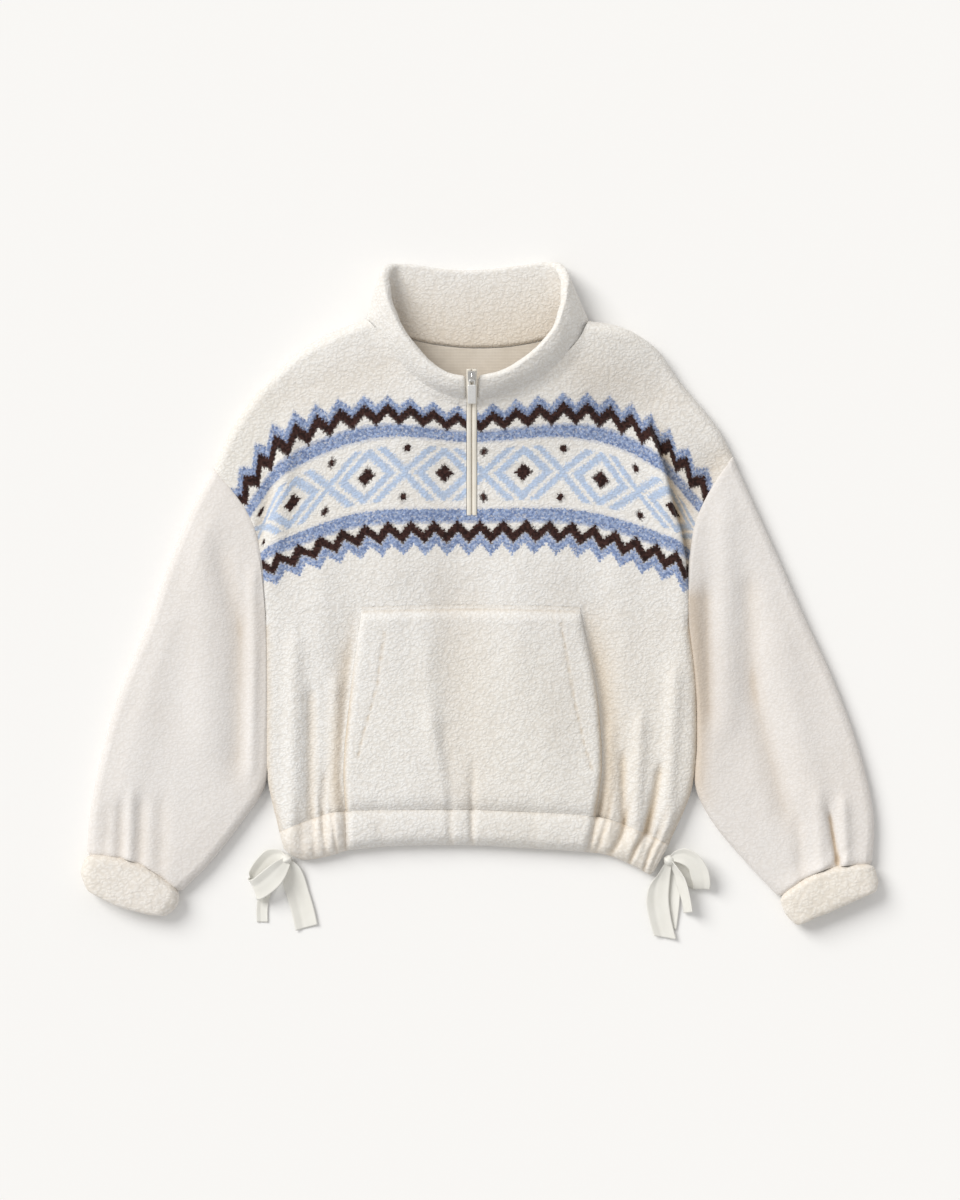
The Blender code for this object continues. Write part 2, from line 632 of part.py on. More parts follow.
def zip_path(distance):
    # Height of the cloth surface that the zip follows, as (y, z), from its lower end up over the rim
    lower = [front_point(ZIP_LEFT, row) for row in spread(ZIP_END, SHOULDER, 8)]
    upper = [collar_point(0, share) for share in spread(0.15, 1.0, 6)]
    line = [Vector((spot.y, spot.z)) for spot in lower + upper]
    line.append(line[-1] + Vector((RIM_LANDING, 4.0)))
    return along(line, distance)


def strip_on_zip(name, low_x, high_x, proud, wall, collection, material):
    def place(x, share):
        spot = zip_path(share)
        step = zip_path(min(share + 0.01, 1.0)) - zip_path(max(share - 0.01, 0.0))
        normal = Vector((-step.y, step.x)).normalized()
        spot += normal * proud
        return Vector((x, spot.x, spot.y))

    item = grid_object(name, [low_x, high_x], spread(0.004, 1.0, 26), place, collection)
    return finish(thicken(item, wall, 0.0), material)


def make_zip_strips(collection, tape, coil):
    left, right = ZIP_LEFT + SEAM_GAP, ZIP_RIGHT - SEAM_GAP
    strip_on_zip("zip_welt_left", left, left + WELT_WIDTH, WELT_PROUD, TAPE_WALL, collection, tape)
    strip_on_zip("zip_welt_right", right - WELT_WIDTH, right, WELT_PROUD, TAPE_WALL, collection, tape)
    depth = WELT_PROUD - TAPE_WALL - 2 * LAYER_GAP
    strip_on_zip("zip_coil", ZIP_MIDDLE - COIL_WIDTH / 2, ZIP_MIDDLE + COIL_WIDTH / 2, depth, COIL_WALL,
                 collection, coil)


def slider_frame():
    # Origin on the zip just under the rim, Y up along the zip, Z out of the cloth
    share = max(step for step in spread(0.0, 1.0, 400) if zip_path(step).x <= SLIDER_Y)
    spot = zip_path(share)
    run = zip_path(min(share + 0.03, 1.0)) - zip_path(share - 0.03)
    place = Matrix.Translation(Vector((ZIP_MIDDLE, spot.x, spot.y)) * MM)
    return place @ Matrix.Rotation(math.atan2(run.y, run.x), 4, "X")


def rounded_box(name, size, centre, bevel, collection):
    bpy.ops.mesh.primitive_cube_add(size=1)
    item = bpy.context.object
    item.name = name
    item.data.name = name
    shape = Matrix.Diagonal((*[side * MM for side in size], 1))
    item.data.transform(Matrix.Translation(Vector(centre) * MM) @ shape)
    for owner in list(item.users_collection):
        owner.objects.unlink(item)
    collection.objects.link(item)
    modifier = item.modifiers.new("edges", "BEVEL")
    modifier.width = bevel * MM
    modifier.segments = 2
    return item


def wire(name, points, radius, collection):
    # A round wire through the points, with its ends capped, as a mesh
    curve = bpy.data.curves.new(name, "CURVE")
    curve.dimensions = "3D"
    curve.bevel_depth = radius * MM
    curve.bevel_resolution = 2
    curve.use_fill_caps = True
    spline = curve.splines.new("POLY")
    spline.points.add(len(points) - 1)
    for spot, point in zip(spline.points, points):
        spot.co = (*(Vector(point) * MM), 1)
    source = bpy.data.objects.new(name + "_route", curve)
    collection.objects.link(source)
    bpy.context.view_layer.update()
    mesh = bpy.data.meshes.new_from_object(source.evaluated_get(bpy.context.evaluated_depsgraph_get()))
    collection.objects.unlink(source)
    bpy.data.objects.remove(source)
    welded = bmesh.new()
    welded.from_mesh(mesh)
    bmesh.ops.remove_doubles(welded, verts=welded.verts, dist=0.000001)
    bmesh.ops.recalc_face_normals(welded, faces=welded.faces)
    welded.to_mesh(mesh)
    welded.free()
    item = bpy.data.objects.new(name, mesh)
    collection.objects.link(item)
    item.hide_render = True
    item.display_type = "WIRE"
    return item


def join(item, other):
    modifier = item.modifiers.new("join", "BOOLEAN")
    modifier.operation = "UNION"
    modifier.solver = "EXACT"
    modifier.object = other


def make_slider(collection, cutters, material):
    width, length, thick = SLIDER_SIZE
    base = WELT_PROUD + LAYER_GAP + SLIDER_CLEAR
    body = rounded_box("zip_slider", SLIDER_SIZE, (0, 0, base + thick / 2), 0.8, collection)
    top = base + thick
    bridge = wire("bridge", [(0, up, top + height) for up, height in BRIDGE], WIRE_RADIUS, cutters)
    join(body, bridge)
    frame = slider_frame()
    body.matrix_world = frame
    bridge.matrix_world = frame
    return finish(body, material), top


def make_pull(collection, cutters, material, top):
    # The eye's cross bar lies under the bridge, on the pivot. The tab hangs down the collar.
    pivot = slider_frame() @ (Vector((0, PIVOT[0], top + PIVOT[1])) * MM)
    anchor = bpy.data.objects.new("pull_pivot", None)
    collection.objects.link(anchor)
    anchor.matrix_world = Matrix.Translation(pivot) @ Matrix.Rotation(PULL_SLOPE, 4, "X")
    width, length, thick = PULL_TAB
    tab = rounded_box("zip_pull", PULL_TAB, (0, -PULL_RAIL - length / 2, 0), 0.7, collection)
    half, foot, corner = PULL_EYE_HALF, -PULL_RAIL - 1.5, 0.9
    eye = wire("eye", ((-half, foot, 0), (-half, -corner, 0), (-half + corner, 0, 0),
                       (half - corner, 0, 0), (half, -corner, 0), (half, foot, 0)), WIRE_RADIUS, cutters)
    join(tab, eye)
    tab.parent = anchor
    eye.parent = anchor
    return finish(tab, material)


def make_ribbon(name, stations, collection):
    # A flat ribbon. Each station: x, y, z of its middle, then the x, y, z of its half width.
    knots = list(range(len(stations)))
    middles = [Vector(row[0:3]) for row in stations]
    halves = [Vector(row[3:6]) for row in stations]

    def place(side, station):
        return smooth(knots, middles, station) + smooth(knots, halves, station) * side

    steps = spread(0, len(stations) - 1, (len(stations) - 1) * 2)
    item = grid_object(name, [-1.0, 0.0, 1.0], steps, place, collection)
    modifier = item.modifiers.new("wall", "SOLIDIFY")
    modifier.thickness = RIBBON_WALL * MM
    modifier.offset = 0.0
    item.hide_render = True
    item.display_type = "WIRE"
    return item


def make_knot(name, centre, size, turn, collection):
    bpy.ops.mesh.primitive_uv_sphere_add(segments=14, ring_count=8, radius=1)
    item = bpy.context.object
    item.name = name
    item.data.name = name
    shape = Matrix.Rotation(math.radians(turn), 4, "Z") @ Matrix.Diagonal((*[side / 2 * MM for side in size], 1))
    item.data.transform(Matrix.Translation(Vector(centre) * MM) @ shape)
    for owner in list(item.users_collection):
        owner.objects.unlink(item)
    collection.objects.link(item)
    return item


LEFT_KNOT = {"centre": (-213.2, -284.5, 7.2), "size": (15, 13, 13.6), "turn": 20}
LEFT_STRIPS = {
    "left_loop": (
        (-214, -285, 8, -3, 4, 0), (-223, -292, 12, -6, 7, 0), (-232, -301, 14.5, -9, 8.5, 1),
        (-240.5, -310, 14, -10, 7.5, 2), (-249, -321, 10.5, -9, 6, 3), (-252, -326, 6, -9, 6, 3),
        (-247, -320, 2.6, -9, 6, 0.5), (-236, -308, 2.0, -9, 7, 0), (-224, -295, 3.0, -6, 6, 0),
        (-215, -286, 5.5, -3, 4, 0)),
    "left_short_tail": (
        (-215, -287, 3.5, -4, 3, 0), (-228, -306, 0.7, -5.5, 3.5, 0), (-237, -322, 0.7, -6.5, 1.5, 0),
        (-240, -338, 0.7, -6.3, 0, 0), (-240, -354, 0.7, -6, 0, 0)),
    "left_long_tail": (
        (-213, -286, 7, -4, -2, 0), (-208, -297, 4.6, -9, -4.5, 0), (-205, -308, 2.4, -11.6, -4.2, 0),
        (-201, -322, 1.2, -12, -3.6, 0), (-195, -342, 1.2, -12, -3.4, 0), (-191, -360, 1.2, -12, -3.4, 0)),
}
RIGHT_KNOT = {"centre": (208, -285.5, 7.5), "size": (15, 14, 14.4), "turn": -30}
RIGHT_STRIPS = {
    "right_loop": (
        (209, -285, 8, -1, 3, 4), (217, -280, 11, 0, 5, 7), (226, -280, 13, 3, 6, 8), (234, -287, 13, 5, 5, 9),
        (242, -301, 13, 6, 3, 9), (246, -314, 12, 6, 2, 9)),
    "right_strand": (
        (209, -287, 8, 2, 2, 4), (216, -294, 10, 2, 3, 7), (221.5, -303, 11, 4, 3, 8), (227, -319, 12, 4, 2, 9),
        (231, -337, 12, 4, 1, 9)),
    "right_wide_tail": (
        (207, -287, 6.5, -4, -2, 0), (204.5, -297, 5.4, -7, -4, 0), (200.5, -309, 3.4, -11, -4, 0),
        (197, -330, 2.6, -12.4, -1, 0), (199, -350, 2.4, -12.4, 1, 0), (204, -371, 2.4, -12.2, 2, 0)),
    "right_under_tail": (
        (208, -288, 3.5, -4, 1, 0), (209.5, -301, 0.9, -5.5, 1, 0), (210, -315, 0.7, -8, 1, 0),
        (212, -332, 0.7, -9, 0, 0), (211, -350, 0.7, -9.5, 0, 0), (209.5, -365, 0.7, -9.5, 0, 0)),
}


def make_bow(name, knot, strips, collection, cutters, material):
    # One length of ribbon tied at the hem: the knot with its loops and tails
    bow = make_knot(name, knot["centre"], knot["size"], knot["turn"], collection)
    for strip, stations in strips.items():
        join(bow, make_ribbon(strip, stations, cutters))
    return finish(bow, material)


def centre_on_table(collections):
    # The outlines above were measured from the middle of the picture
    shift = Matrix.Translation(Vector(TABLE_SHIFT) * MM)
    for collection in collections:
        for item in collection.objects:
            if item.parent is None:
                item.matrix_world = shift @ item.matrix_world


def main():
    clear_scene()
    parts = new_collection("fleece_pullover")
    cutters = new_collection("joined_shapes")
    fleece = plain_material("cream_fleece", CREAM)
    sleeve_fleece = plain_material("sleeve_fleece", COOL_CREAM)
    trim_fleece = plain_material("trim_fleece", WARM_CREAM)
    facing = plain_material("facing", BEIGE, 0.8)
    ribbon = plain_material("ribbon", RIBBON_WHITE, 0.45)
    tape = plain_material("zip_tape", TAPE_CREAM, 0.7)
    metal = plain_material("zip_metal", SILVER, 0.3, 0.9)
    enamel = plain_material("pull_enamel", RIBBON_WHITE, 0.35)
    make_back(parts, fleece)
    make_front(parts, fleece)
    make_pocket(parts, fleece)
    make_hem(parts, (trim_fleece, fleece))
    make_hem_back(parts, trim_fleece)
    make_neck_tape(parts, facing)
    make_collar(parts, fleece)
    make_sleeve("sleeve_left", (LEFT_SLEEVE_OUTER, LEFT_SLEEVE_INNER), LEFT_EDGE, LEFT_CUFF,
                LEFT_SLEEVE_FOLDS, parts, sleeve_fleece)
    make_sleeve("sleeve_right", (RIGHT_SLEEVE_OUTER, RIGHT_SLEEVE_INNER), RIGHT_EDGE, RIGHT_CUFF,
                RIGHT_SLEEVE_FOLDS, parts, sleeve_fleece)
    make_cuff("cuff_left", LEFT_CUFF, parts, trim_fleece)
    make_cuff("cuff_right", RIGHT_CUFF, parts, trim_fleece)
    make_zip_strips(parts, tape, tape)
    slider, top = make_slider(parts, cutters, metal)
    make_pull(parts, cutters, enamel, top)
    make_bow("bow_left", LEFT_KNOT, LEFT_STRIPS, parts, cutters, ribbon)
    make_bow("bow_right", RIGHT_KNOT, RIGHT_STRIPS, parts, cutters, ribbon)
    centre_on_table((parts, cutters))


main()
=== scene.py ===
import json
import math

import bpy
import numpy as np
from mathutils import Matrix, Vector

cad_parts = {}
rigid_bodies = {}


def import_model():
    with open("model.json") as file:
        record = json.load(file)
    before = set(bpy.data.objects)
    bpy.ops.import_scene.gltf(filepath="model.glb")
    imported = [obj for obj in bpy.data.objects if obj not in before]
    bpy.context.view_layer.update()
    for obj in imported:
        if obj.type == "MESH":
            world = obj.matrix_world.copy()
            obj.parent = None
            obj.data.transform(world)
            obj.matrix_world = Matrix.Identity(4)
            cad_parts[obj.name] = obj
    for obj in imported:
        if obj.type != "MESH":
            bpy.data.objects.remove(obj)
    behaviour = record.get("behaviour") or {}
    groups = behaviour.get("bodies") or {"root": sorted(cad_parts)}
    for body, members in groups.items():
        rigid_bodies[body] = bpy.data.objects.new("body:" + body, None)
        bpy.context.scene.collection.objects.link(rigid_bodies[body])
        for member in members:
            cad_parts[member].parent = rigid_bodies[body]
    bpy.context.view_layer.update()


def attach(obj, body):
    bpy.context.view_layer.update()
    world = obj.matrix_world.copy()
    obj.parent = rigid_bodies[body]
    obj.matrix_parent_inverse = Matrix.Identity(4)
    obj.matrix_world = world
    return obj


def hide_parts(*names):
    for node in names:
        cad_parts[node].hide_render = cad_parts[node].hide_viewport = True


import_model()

mm = 0.001
tableShift = np.array((0.45, -1.5, 0.0))

# the lie of the front on the table, in millimetres. columns run across the cloth, rows run up it
body = {
    "columns": (-238, -205, -135, -15, -3, 118, 190, 234),
    "rows": (
        (-235, (-221, -254), (-189, -241), (-148, -231), (-15, -229),
         (-3, -229), (127, -237), (176, -253), (208, -268)),
        (-180, (-233, -197), (-195, -191), (-150, -180), (-15, -175),
         (-3, -175), (134, -180), (192, -191), (234, -202)),
        (-97, (-235, -102), (-198, -100), (-142, -98), (-15, -96),
         (-3, -96), (128, -98), (198, -100), (238, -103)),
        (-5, (-237, -23), (-200, -16), (-130, -7), (-15, -4), (-3, -4), (110, -7), (196, -16), (231, -25)),
        (45, (-238, 10), (-207, 23), (-125, 45), (-15, 48), (-3, 48), (108, 46), (203, 20), (230, 4)),
        (92, (-241, 48), (-222, 59), (-134, 89), (-15, 94), (-3, 94), (116, 91), (208, 64), (232, 50)),
        (180, (-255, 95), (-217, 144), (-125, 184), (-15, 179),
         (-3, 179), (122, 184), (197, 151), (243, 100)),
    ),
    "topEdge": (
        ((-238, -293, 146), (-228, -277, 183), (-217, -255, 217), (-205, -234, 242), (-180, -197, 276),
         (-158, -166, 294), (-135, -125, 311)),
        ((-135, -125, 311), (-120, -110, 291), (-95, -88, 261), (-58, -55, 232), (-15, -15, 219)),
        ((-3, -3, 219), (32, 32, 228), (58, 56, 238), (92, 92, 264), (108, 110, 287), (118, 119, 309)),
        ((118, 119, 309), (145, 150, 303), (168, 175, 292), (190, 199, 272), (205, 221, 240),
         (215, 242, 215), (225, 263, 188), (234, 278, 160)),
    ),
    # where the tips of the highest zigzag lie on each column
    "topTips": ((-278, 128), (-222, 197), (-124, 225), (-15, 213), (-3, 214), (119, 228), (198, 199),
                (264, 134)),
    # columns of the side edges, the pocket's seams (the shoulders' inner ends too) and the zip's slit
    "sides": (-238, 234), "pocketSides": (-135, 118), "slit": (-15, -3),
    # rows
    "hemSeam": -235, "pocketTop": -5, "zipEnd": 92, "shoulder": 290, "armpit": -10,
    # the band's rows: the start of the top zigzag, and the main panel's lower edge
    "bandTop": 180.0, "bandLow": 92,
    "lowest": 6.8, "top": 17.0, "armholeDip": 2.0, "edgeRoll": 13.0,
    "neckMiddle": (-6.0, 312.0), "neckReach": (122, 95), "neckRise": 13.0, "neckSides": (-133, 116),
    "neckFlare": 4.0, "neckTuck": 5.0, "tuckFrom": 274,
    # folds: start x, start y, end x, end y, half width, height
    "folds": (
        (-212, 168, -226, 45, 11, 4.5), (-229, 120, -244, 70, 7, -3.0),
        (232, 112, 262, 150, 15, -3.0),
        (-186, -110, -187, -250, 6, -3.4), (-171, -200, -172, -250, 5, -2.6),
        (-204, -60, -206, -240, 10, 4.5),
        (-158, -100, -160, -250, 8, 4.5), (157, -180, 158, -250, 4.5, -4.0), (197, -192, 184, -256, 5, -5.0),
        (143, -150, 141, -250, 7, 3.5), (176, -140, 171, -256, 8, 4.5), (214, -90, 206, -245, 9, 4.5),
        (-40, -150, -30, -240, 8, -2.0), (-8, -190, -9, -240, 5, -1.8), (-175, 30, -172, -80, 18, 2.5),
        (-95, 20, -98, -60, 20, 1.5), (40, 30, 42, -80, 22, 1.8), (150, 30, 160, -90, 18, 2.0),
        (-30, -240, -52, -135, 9, 2.6), (-52, -135, -60, -60, 14, 1.6), (60, 130, 90, 20, 30, 1.2),
        (-90, 140, -110, 30, 30, 1.2), (-190, 230, -120, 250, 24, -1.5), (190, 225, 120, 250, 24, -1.5),
        (-20, -40, -20, -200, 32, -2.4),
    ),
    # the side fold on the right: plan points from top to bottom
    "sideFold": ((186, 196), (193, 179), (204, 144), (213, 102), (221, 78), (226, 47), (229, 6), (229, -20)),
    "foldLip": 5.5, "foldDrop": 7.5, "step": 1.95,
    "pressedLeft": 6.5, "pressedRight": 3.0,
    # the dips beside the pocket, left and right: depth and reach
    "dropLeft": (2.6, 9), "dropRight": (4.8, 6.5),
    # the rows of stitches beside the zip
    "zipStitches": (-20.6, 2.6), "zipStitchDip": 0.6, "zipStitchWidth": 1.3,
}

hem = {
    "depth": 38, "seamDip": 1.3, "seamWidth": 4.2, "gatherReach": 20.0, "puff": 3.0, "centreLift": 3.0,
    "centreSides": (-137, 120),
    "bottom": (
        (-238, -216, -273), (-226, -206, -281), (-212, -194, -285), (-190, -177, -283), (-160, -159, -279),
        (-135, -147, -275), (-90, -95, -270), (-15, -15, -269), (60, 65, -273), (118, 121, -277),
        (140, 141, -280), (165, 163, -289), (200, 180, -298), (218, 187, -301), (234, 192, -297),
    ),
    # gathers: column at the seam, column at the lower edge, half width, depth
    "gathers": (
        (-214, -214, 5.0, 1.6), (-196, -196, 5.0, 1.8), (-177, -177, 5.0, 2.2), (-156, -156, 5.0, 2.2),
        (-135, -135, 3.4, 3.2), (-31, -31, 4.0, 2.2), (-9, -9, 3.2, 2.6), (-100, -98, 7.0, 1.0),
        (50, 52, 9.0, 1.0),
        (120, 115, 4.0, 3.6), (134, 125, 3.8, 2.8), (163, 141, 4.4, 4.0), (197, 166, 4.6, 4.4),
        (215, 199, 4.2, 3.4), (227, 217, 3.6, 2.0),
    ),
}

sleeves = {
    "left": {
        "outer": ((-294, 146), (-319, 100), (-341, 45), (-365, -23), (-397, -102), (-418, -176),
                  (-429, -234), (-433, -279)),
        "inner": ((-237, -12), (-233, -70), (-231.5, -140), (-235, -199), (-262, -243), (-297, -288),
                  (-330, -321)),
        # the edge value sets the painted shade on the sleeve where it lies along the body's edge
        "column": -238, "side": -1, "edgeTint": 0.15,
        "folds": (
            (-284, 45, -273, 0, 12, -3.0), (-264, -38, -267, -170, 13, -3.6), (-305, 60, -300, -140, 22, 4.0),
            (-249, 20, -250, -180, 7, 3.0), (-352, -40, -385, -200, 20, 2.0),
            (-394, -235, -396, -300, 7, -3.0), (-372, -230, -375, -310, 7, -3.0),
            (-350, -235, -352, -320, 8, -2.0), (-410, -240, -414, -290, 6, -1.5),
            (-384, -225, -386, -300, 6, 1.8),
        ),
    },
    "right": {
        "outer": ((279, 160), (330, 45), (353, -8), (389, -87), (418, -167), (433, -234), (432, -290)),
        "inner": ((233, 0), (236.5, -60), (238.5, -109), (238, -160), (237, -203), (256, -243), (295, -290),
                  (329, -326)),
        "column": 234, "side": 1, "edgeTint": 0.6,
        "folds": (
            (296, 5, 300, -76, 12, -3.4), (304, -112, 334, -225, 13, -3.4), (268, 80, 272, -120, 15, 4.0),
            (330, -60, 362, -200, 20, 4.0), (385, -240, 393, -285, 3.2, -6.0),
            (393, -285, 372, -312, 4, -2.5), (372, -225, 377, -320, 8, 3.0), (398, -230, 402, -300, 6, 2.5),
            (402, -230, 405, -300, 7, 2.0), (350, -250, 356, -330, 7, -2.0), (250, 0, 252, -120, 9, -4.0),
        ),
    },
    "length": 440, "band": 0.012, "armholeGap": -1.6, "top": 17.0, "edgeRadius": 7.5, "step": 2.3,
    "cuffPuff": 3.5,
}

cuffs = {
    "left": {"outer": ((-433, -279), (-439, -300), (-433, -319)),
             "inner": ((-330, -321), (-333, -336), (-345, -348)), "seamBow": 12.0, "edgeBow": -6.0},
    "right": {"outer": ((432, -290), (438, -308), (437, -320)),
              "inner": ((329, -326), (336, -345), (348, -359)), "seamBow": 12.0, "edgeBow": 0.0},
    "length": 36, "gap": -1.2, "top": 24.0, "edgeRadius": 10.9, "puff": 1.5, "wall": 8.0, "step": 1.9,
}

collar = {
    # seam x, y, z, rim x, y, z, and how far the wall bows out between them
    "stations": (
        (-15.3, 220, 30, -15.3, 243, 54, 4), (-38, 226.5, 30, -37, 247, 54, 4),
        (-58, 236, 30, -58, 262, 53, 4), (-76, 250, 30, -75, 283, 51, 4), (-92, 268, 30, -87, 301, 49, 4),
        (-105, 286, 29, -96, 320, 46, 3), (-117, 302, 25, -103, 342, 42, 2),
        (-124.5, 312, 14, -108, 362, 31, 1), (-118, 312, 3.5, -104, 372, 14, 0),
        (-100, 298.5, 0, -92, 374, 2, 0), (-75, 289.5, 0, -70, 373, 0, 0), (-45, 283.2, 0, -45, 369, 0, 0),
        (-10, 280, 0, -10, 367, 0, 0), (30, 281.4, 0, 25, 370, 0, 0), (65, 287.4, 0, 55, 374, 0, 0),
        (92, 296.6, 0, 75, 376, 2, 0), (111, 312, 3.5, 89, 374, 14, 0), (118.5, 311, 14, 96, 360, 31, 1),
        (111.5, 300, 25, 94, 340, 42, 2), (101, 284, 29, 90, 322, 46, 3), (89, 266, 30, 83, 303, 49, 4),
        (72, 250, 30, 68, 282, 51, 4), (52, 237.5, 30, 50, 265, 53, 4), (28, 228, 30, 26, 250, 54, 4),
        (-2.4, 219.5, 30, -2.4, 243, 54, 4),
    ),
    "wall": 11.0, "step": 2.0,
}

pocket = {
    "lift": 0.3, "wall": 6.0, "puff": 2.5, "edge": 9.0, "topEdge": 16.0, "stitchDip": 1.0,
    "topStitch": -10.6,
    "stitchesLeft": ((-105, -34), (-113, -94), (-130, -152), (-134, -171)),
    "stitchesRight": ((89, -25), (96, -66), (103, -106), (114, -156), (123, -186)),
}

halfZip = {
    "middle": -9.0, "weltStarts": {"left": -14.75, "right": -8.55}, "weltWidth": 5.3, "weltHeight": 2.2,
    "proud": 0.6, "landing": 9.0, "length": 185, "toothPitch": 1.3, "toothReach": 1.9, "coilDepth": 2.6,
}

# ribbons: x, y, z of the middle, then x, y, z of the half width. a knot has its middle, size and turn
bows = {
    "left": {
        "length": 0.25, "knot": ((-213.2, -284.5, 7.2), (12.5, 11, 12.5), 20),
        "loop": (
            (-212, -286, 10, -3, 4, 0), (-221, -296, 15, -6.5, 8, 1), (-231, -306, 17, -9, 8.4, 1),
            (-241, -314, 15.5, -7.5, 9.6, 2), (-247.5, -317, 11.5, -5.5, 11, 2),
            (-250, -315, 6.5, -5, 11.3, 2),
            (-248, -307, 3.4, -6.5, 10, 2), (-240, -295, 2.6, -7.5, 9.6, 2), (-230, -284, 3.6, -6, 9.6, 1),
            (-220, -280, 6, -2, 6.5, 0), (-213, -283, 8, 0, 3, 0)),
        "shortTail": (
            (-215, -287, 3.5, -4, 3, 0), (-228, -306, 0.7, -5.5, 3.5, 0), (-237, -322, 0.7, -6.5, 1.5, 0),
            (-240, -338, 0.7, -6.3, 0, 0), (-240, -354, 0.7, -6, 0, 0)),
        "longTail": (
            (-213, -286, 7, -4, -2, 0), (-208, -297, 4.6, -9, -4.5, 0), (-205, -308, 2.4, -11.6, -4.2, 0),
            (-201, -322, 1.2, -12, -3.6, 0), (-195, -342, 1.2, -12, -3.4, 0),
            (-191, -360, 1.2, -12, -3.4, 0)),
    },
    "right": {
        "length": 0.29, "knot": ((208, -285.5, 7.5), (12.5, 11.5, 13), -30),
        "loop": (
            (208, -284, 9, 0, 3, 2), (215, -280.5, 12, 0.5, 6, 2), (225, -280.5, 15, 1.5, 9, 3),
            (234.5, -286, 16, 5, 8, 4), (241, -297, 14.5, 9, 4.5, 4), (244, -309, 11.5, 9.5, 1.5, 3),
            (243.5, -317, 7, 9, 0, 1.5), (239, -314, 2.8, 8.5, 2, 0.5), (231, -303, 1.6, 8, 4, 0),
            (220, -293, 2.6, 5, 5, 0), (211, -287, 5, 2, 3, 0)),
        "strand": (
            (209, -287, 8, 2, 2, 4), (216, -296, 10, 2, 3, 6), (222, -309, 11, 4.5, 3, 7),
            (227, -326, 10, 4.5, 1.5, 7), (230, -343, 9, 4.5, 1, 7)),
        "wideTail": (
            (207, -287, 6.5, -4, -2, 0), (203, -297, 6, -7.5, -4, 0.5), (197.5, -311, 4.6, -11.5, -3.5, 0.8),
            (195.5, -330, 3.6, -12.4, -1, 0.8), (198.5, -350, 3.0, -12.4, 1, 0.5),
            (204, -371, 2.4, -12.2, 2, 0)),
        "underTail": (
            (208, -288, 3.5, -4, 1, 0), (210, -301, 1.6, -6.5, 1, -0.6), (211.5, -315, 1.4, -8.8, 1, -0.8),
            (211, -332, 1.2, -9, 0, -0.6), (209, -350, 0.8, -9, 0, -0.2), (207.5, -362, 0.7, -9, 0, 0)),
    },
}


def bell(away, width):
    return np.exp(-(away / width) ** 2)


def smooth(share):
    # from 0 to 1 with a soft start and end
    return share * share * (3 - 2 * share)


def curveThrough(knots, values, at):
    # smooth curve through values at rising knots. values are one set for all points, or one for each point
    knots = np.asarray(knots, float)
    values = np.asarray(values, float)
    at = np.asarray(at, float)
    last = len(knots) - 1
    span = np.clip(np.searchsorted(knots, at) - 1, 0, last - 1)
    low = np.maximum(np.arange(last + 1) - 1, 0)
    high = np.minimum(np.arange(last + 1) + 1, last)
    gaps = (knots[high] - knots[low]).reshape((-1,) + (1,) * (values.ndim - 1))
    slopes = (values[high] - values[low]) / gaps
    if values.ndim == 3:
        pick = np.arange(len(at))
        first, second = values[span, pick], values[span + 1, pick]
        firstSlope, secondSlope = slopes[span, pick], slopes[span + 1, pick]
    else:
        first, second = values[span], values[span + 1]
        firstSlope, secondSlope = slopes[span], slopes[span + 1]
    width = knots[span + 1] - knots[span]
    t = (at - knots[span]) / width
    if values.ndim > 1:
        t, width = t[:, None], width[:, None]
    ease = smooth(t)
    return (first * (1 - ease) + second * ease + firstSlope * t * (1 - t) ** 2 * width
            - secondSlope * t * t * (1 - t) * width)


def measure(vectors):
    # the length of each vector
    return np.linalg.norm(vectors, axis=1)


def runningLength(points):
    # the way along a line of points, from its first one
    return np.r_[0.0, np.cumsum(measure(np.diff(points, axis=0)))]


def alongCurve(points, share):
    points = np.asarray(points, float)
    knots = runningLength(points)
    return curveThrough(knots, points, np.asarray(share, float) * knots[-1])


def topEdge(column):
    spots = np.zeros((len(column), 2))
    for run in body["topEdge"]:
        run = np.asarray(run, float)
        here = (column >= run[0, 0]) & (column <= run[-1, 0])
        if here.any():
            spots[here] = curveThrough(run[:, 0], run[:, 1:], column[here])
    left, right = body["slit"]
    zipGap = (column > left) & (column < right)
    share = ((column[zipGap] - left) / (right - left))[:, None]
    spots[zipGap] = np.array((left, 219.0)) * (1 - share) + np.array((right, 219.0)) * share
    return spots


def frontPlan(column, row, top=topEdge):
    # where a column and row of the cloth lie on the table
    column, row = np.broadcast_arrays(np.asarray(column, float), np.asarray(row, float))
    heights = [line[0] for line in body["rows"]] + [body["shoulder"]]
    lines = [curveThrough(body["columns"], line[1:], column) for line in body["rows"]]
    return curveThrough(heights, np.stack(lines + [top(column)]), row)


def foldHeight(folds, x, y):
    # each fold is a rounded ridge, or a dip, along a straight run
    total = np.zeros(len(x))
    for startX, startY, endX, endY, halfWidth, height in folds:
        runX, runY = endX - startX, endY - startY
        length = math.hypot(runX, runY)
        along = ((x - startX) * runX + (y - startY) * runY) / length
        away = ((x - startX) * runY - (y - startY) * runX) / length
        past = np.maximum(np.maximum(-along, along - length), 0) / (6 + 1.6 * halfWidth)
        total += height * np.exp(-(away / halfWidth) ** 2 - past ** 2)
    return total


def roll(distance, reach):
    # the height of a rounded edge, from 0 at the edge to 1
    inside = np.clip(distance / reach, 0, 1)
    return np.sqrt(1 - (1 - inside) ** 2)


def sideFoldHeight(x, y):
    # the side fold lifts to a rounded lip and drops to the cloth that lies under it: its height, and the
    # painted shade on the cloth just under the lip
    line = np.asarray(body["sideFold"], float)[::-1]
    off = x - np.interp(y, line[:, 1], line[:, 0])
    strength = np.interp(y, (-60, 10, 60, 165, 190, 205), (0, 0.35, 1, 1, 0.35, 0))
    lip = body["foldLip"] * bell(np.minimum(off, 0), 15)
    edge = np.clip((off + 6) / 6, 0, 1)
    lip = lip - 4.5 * (1 - np.sqrt(1 - edge ** 2))
    low = -body["foldDrop"] * bell(np.maximum(off, 0), 20)
    past = smooth(np.clip((off + 0.6) / 1.8, 0, 1))
    return strength * (lip * (1 - past) + low * past), strength * bell(np.maximum(off, 0), 13) * past


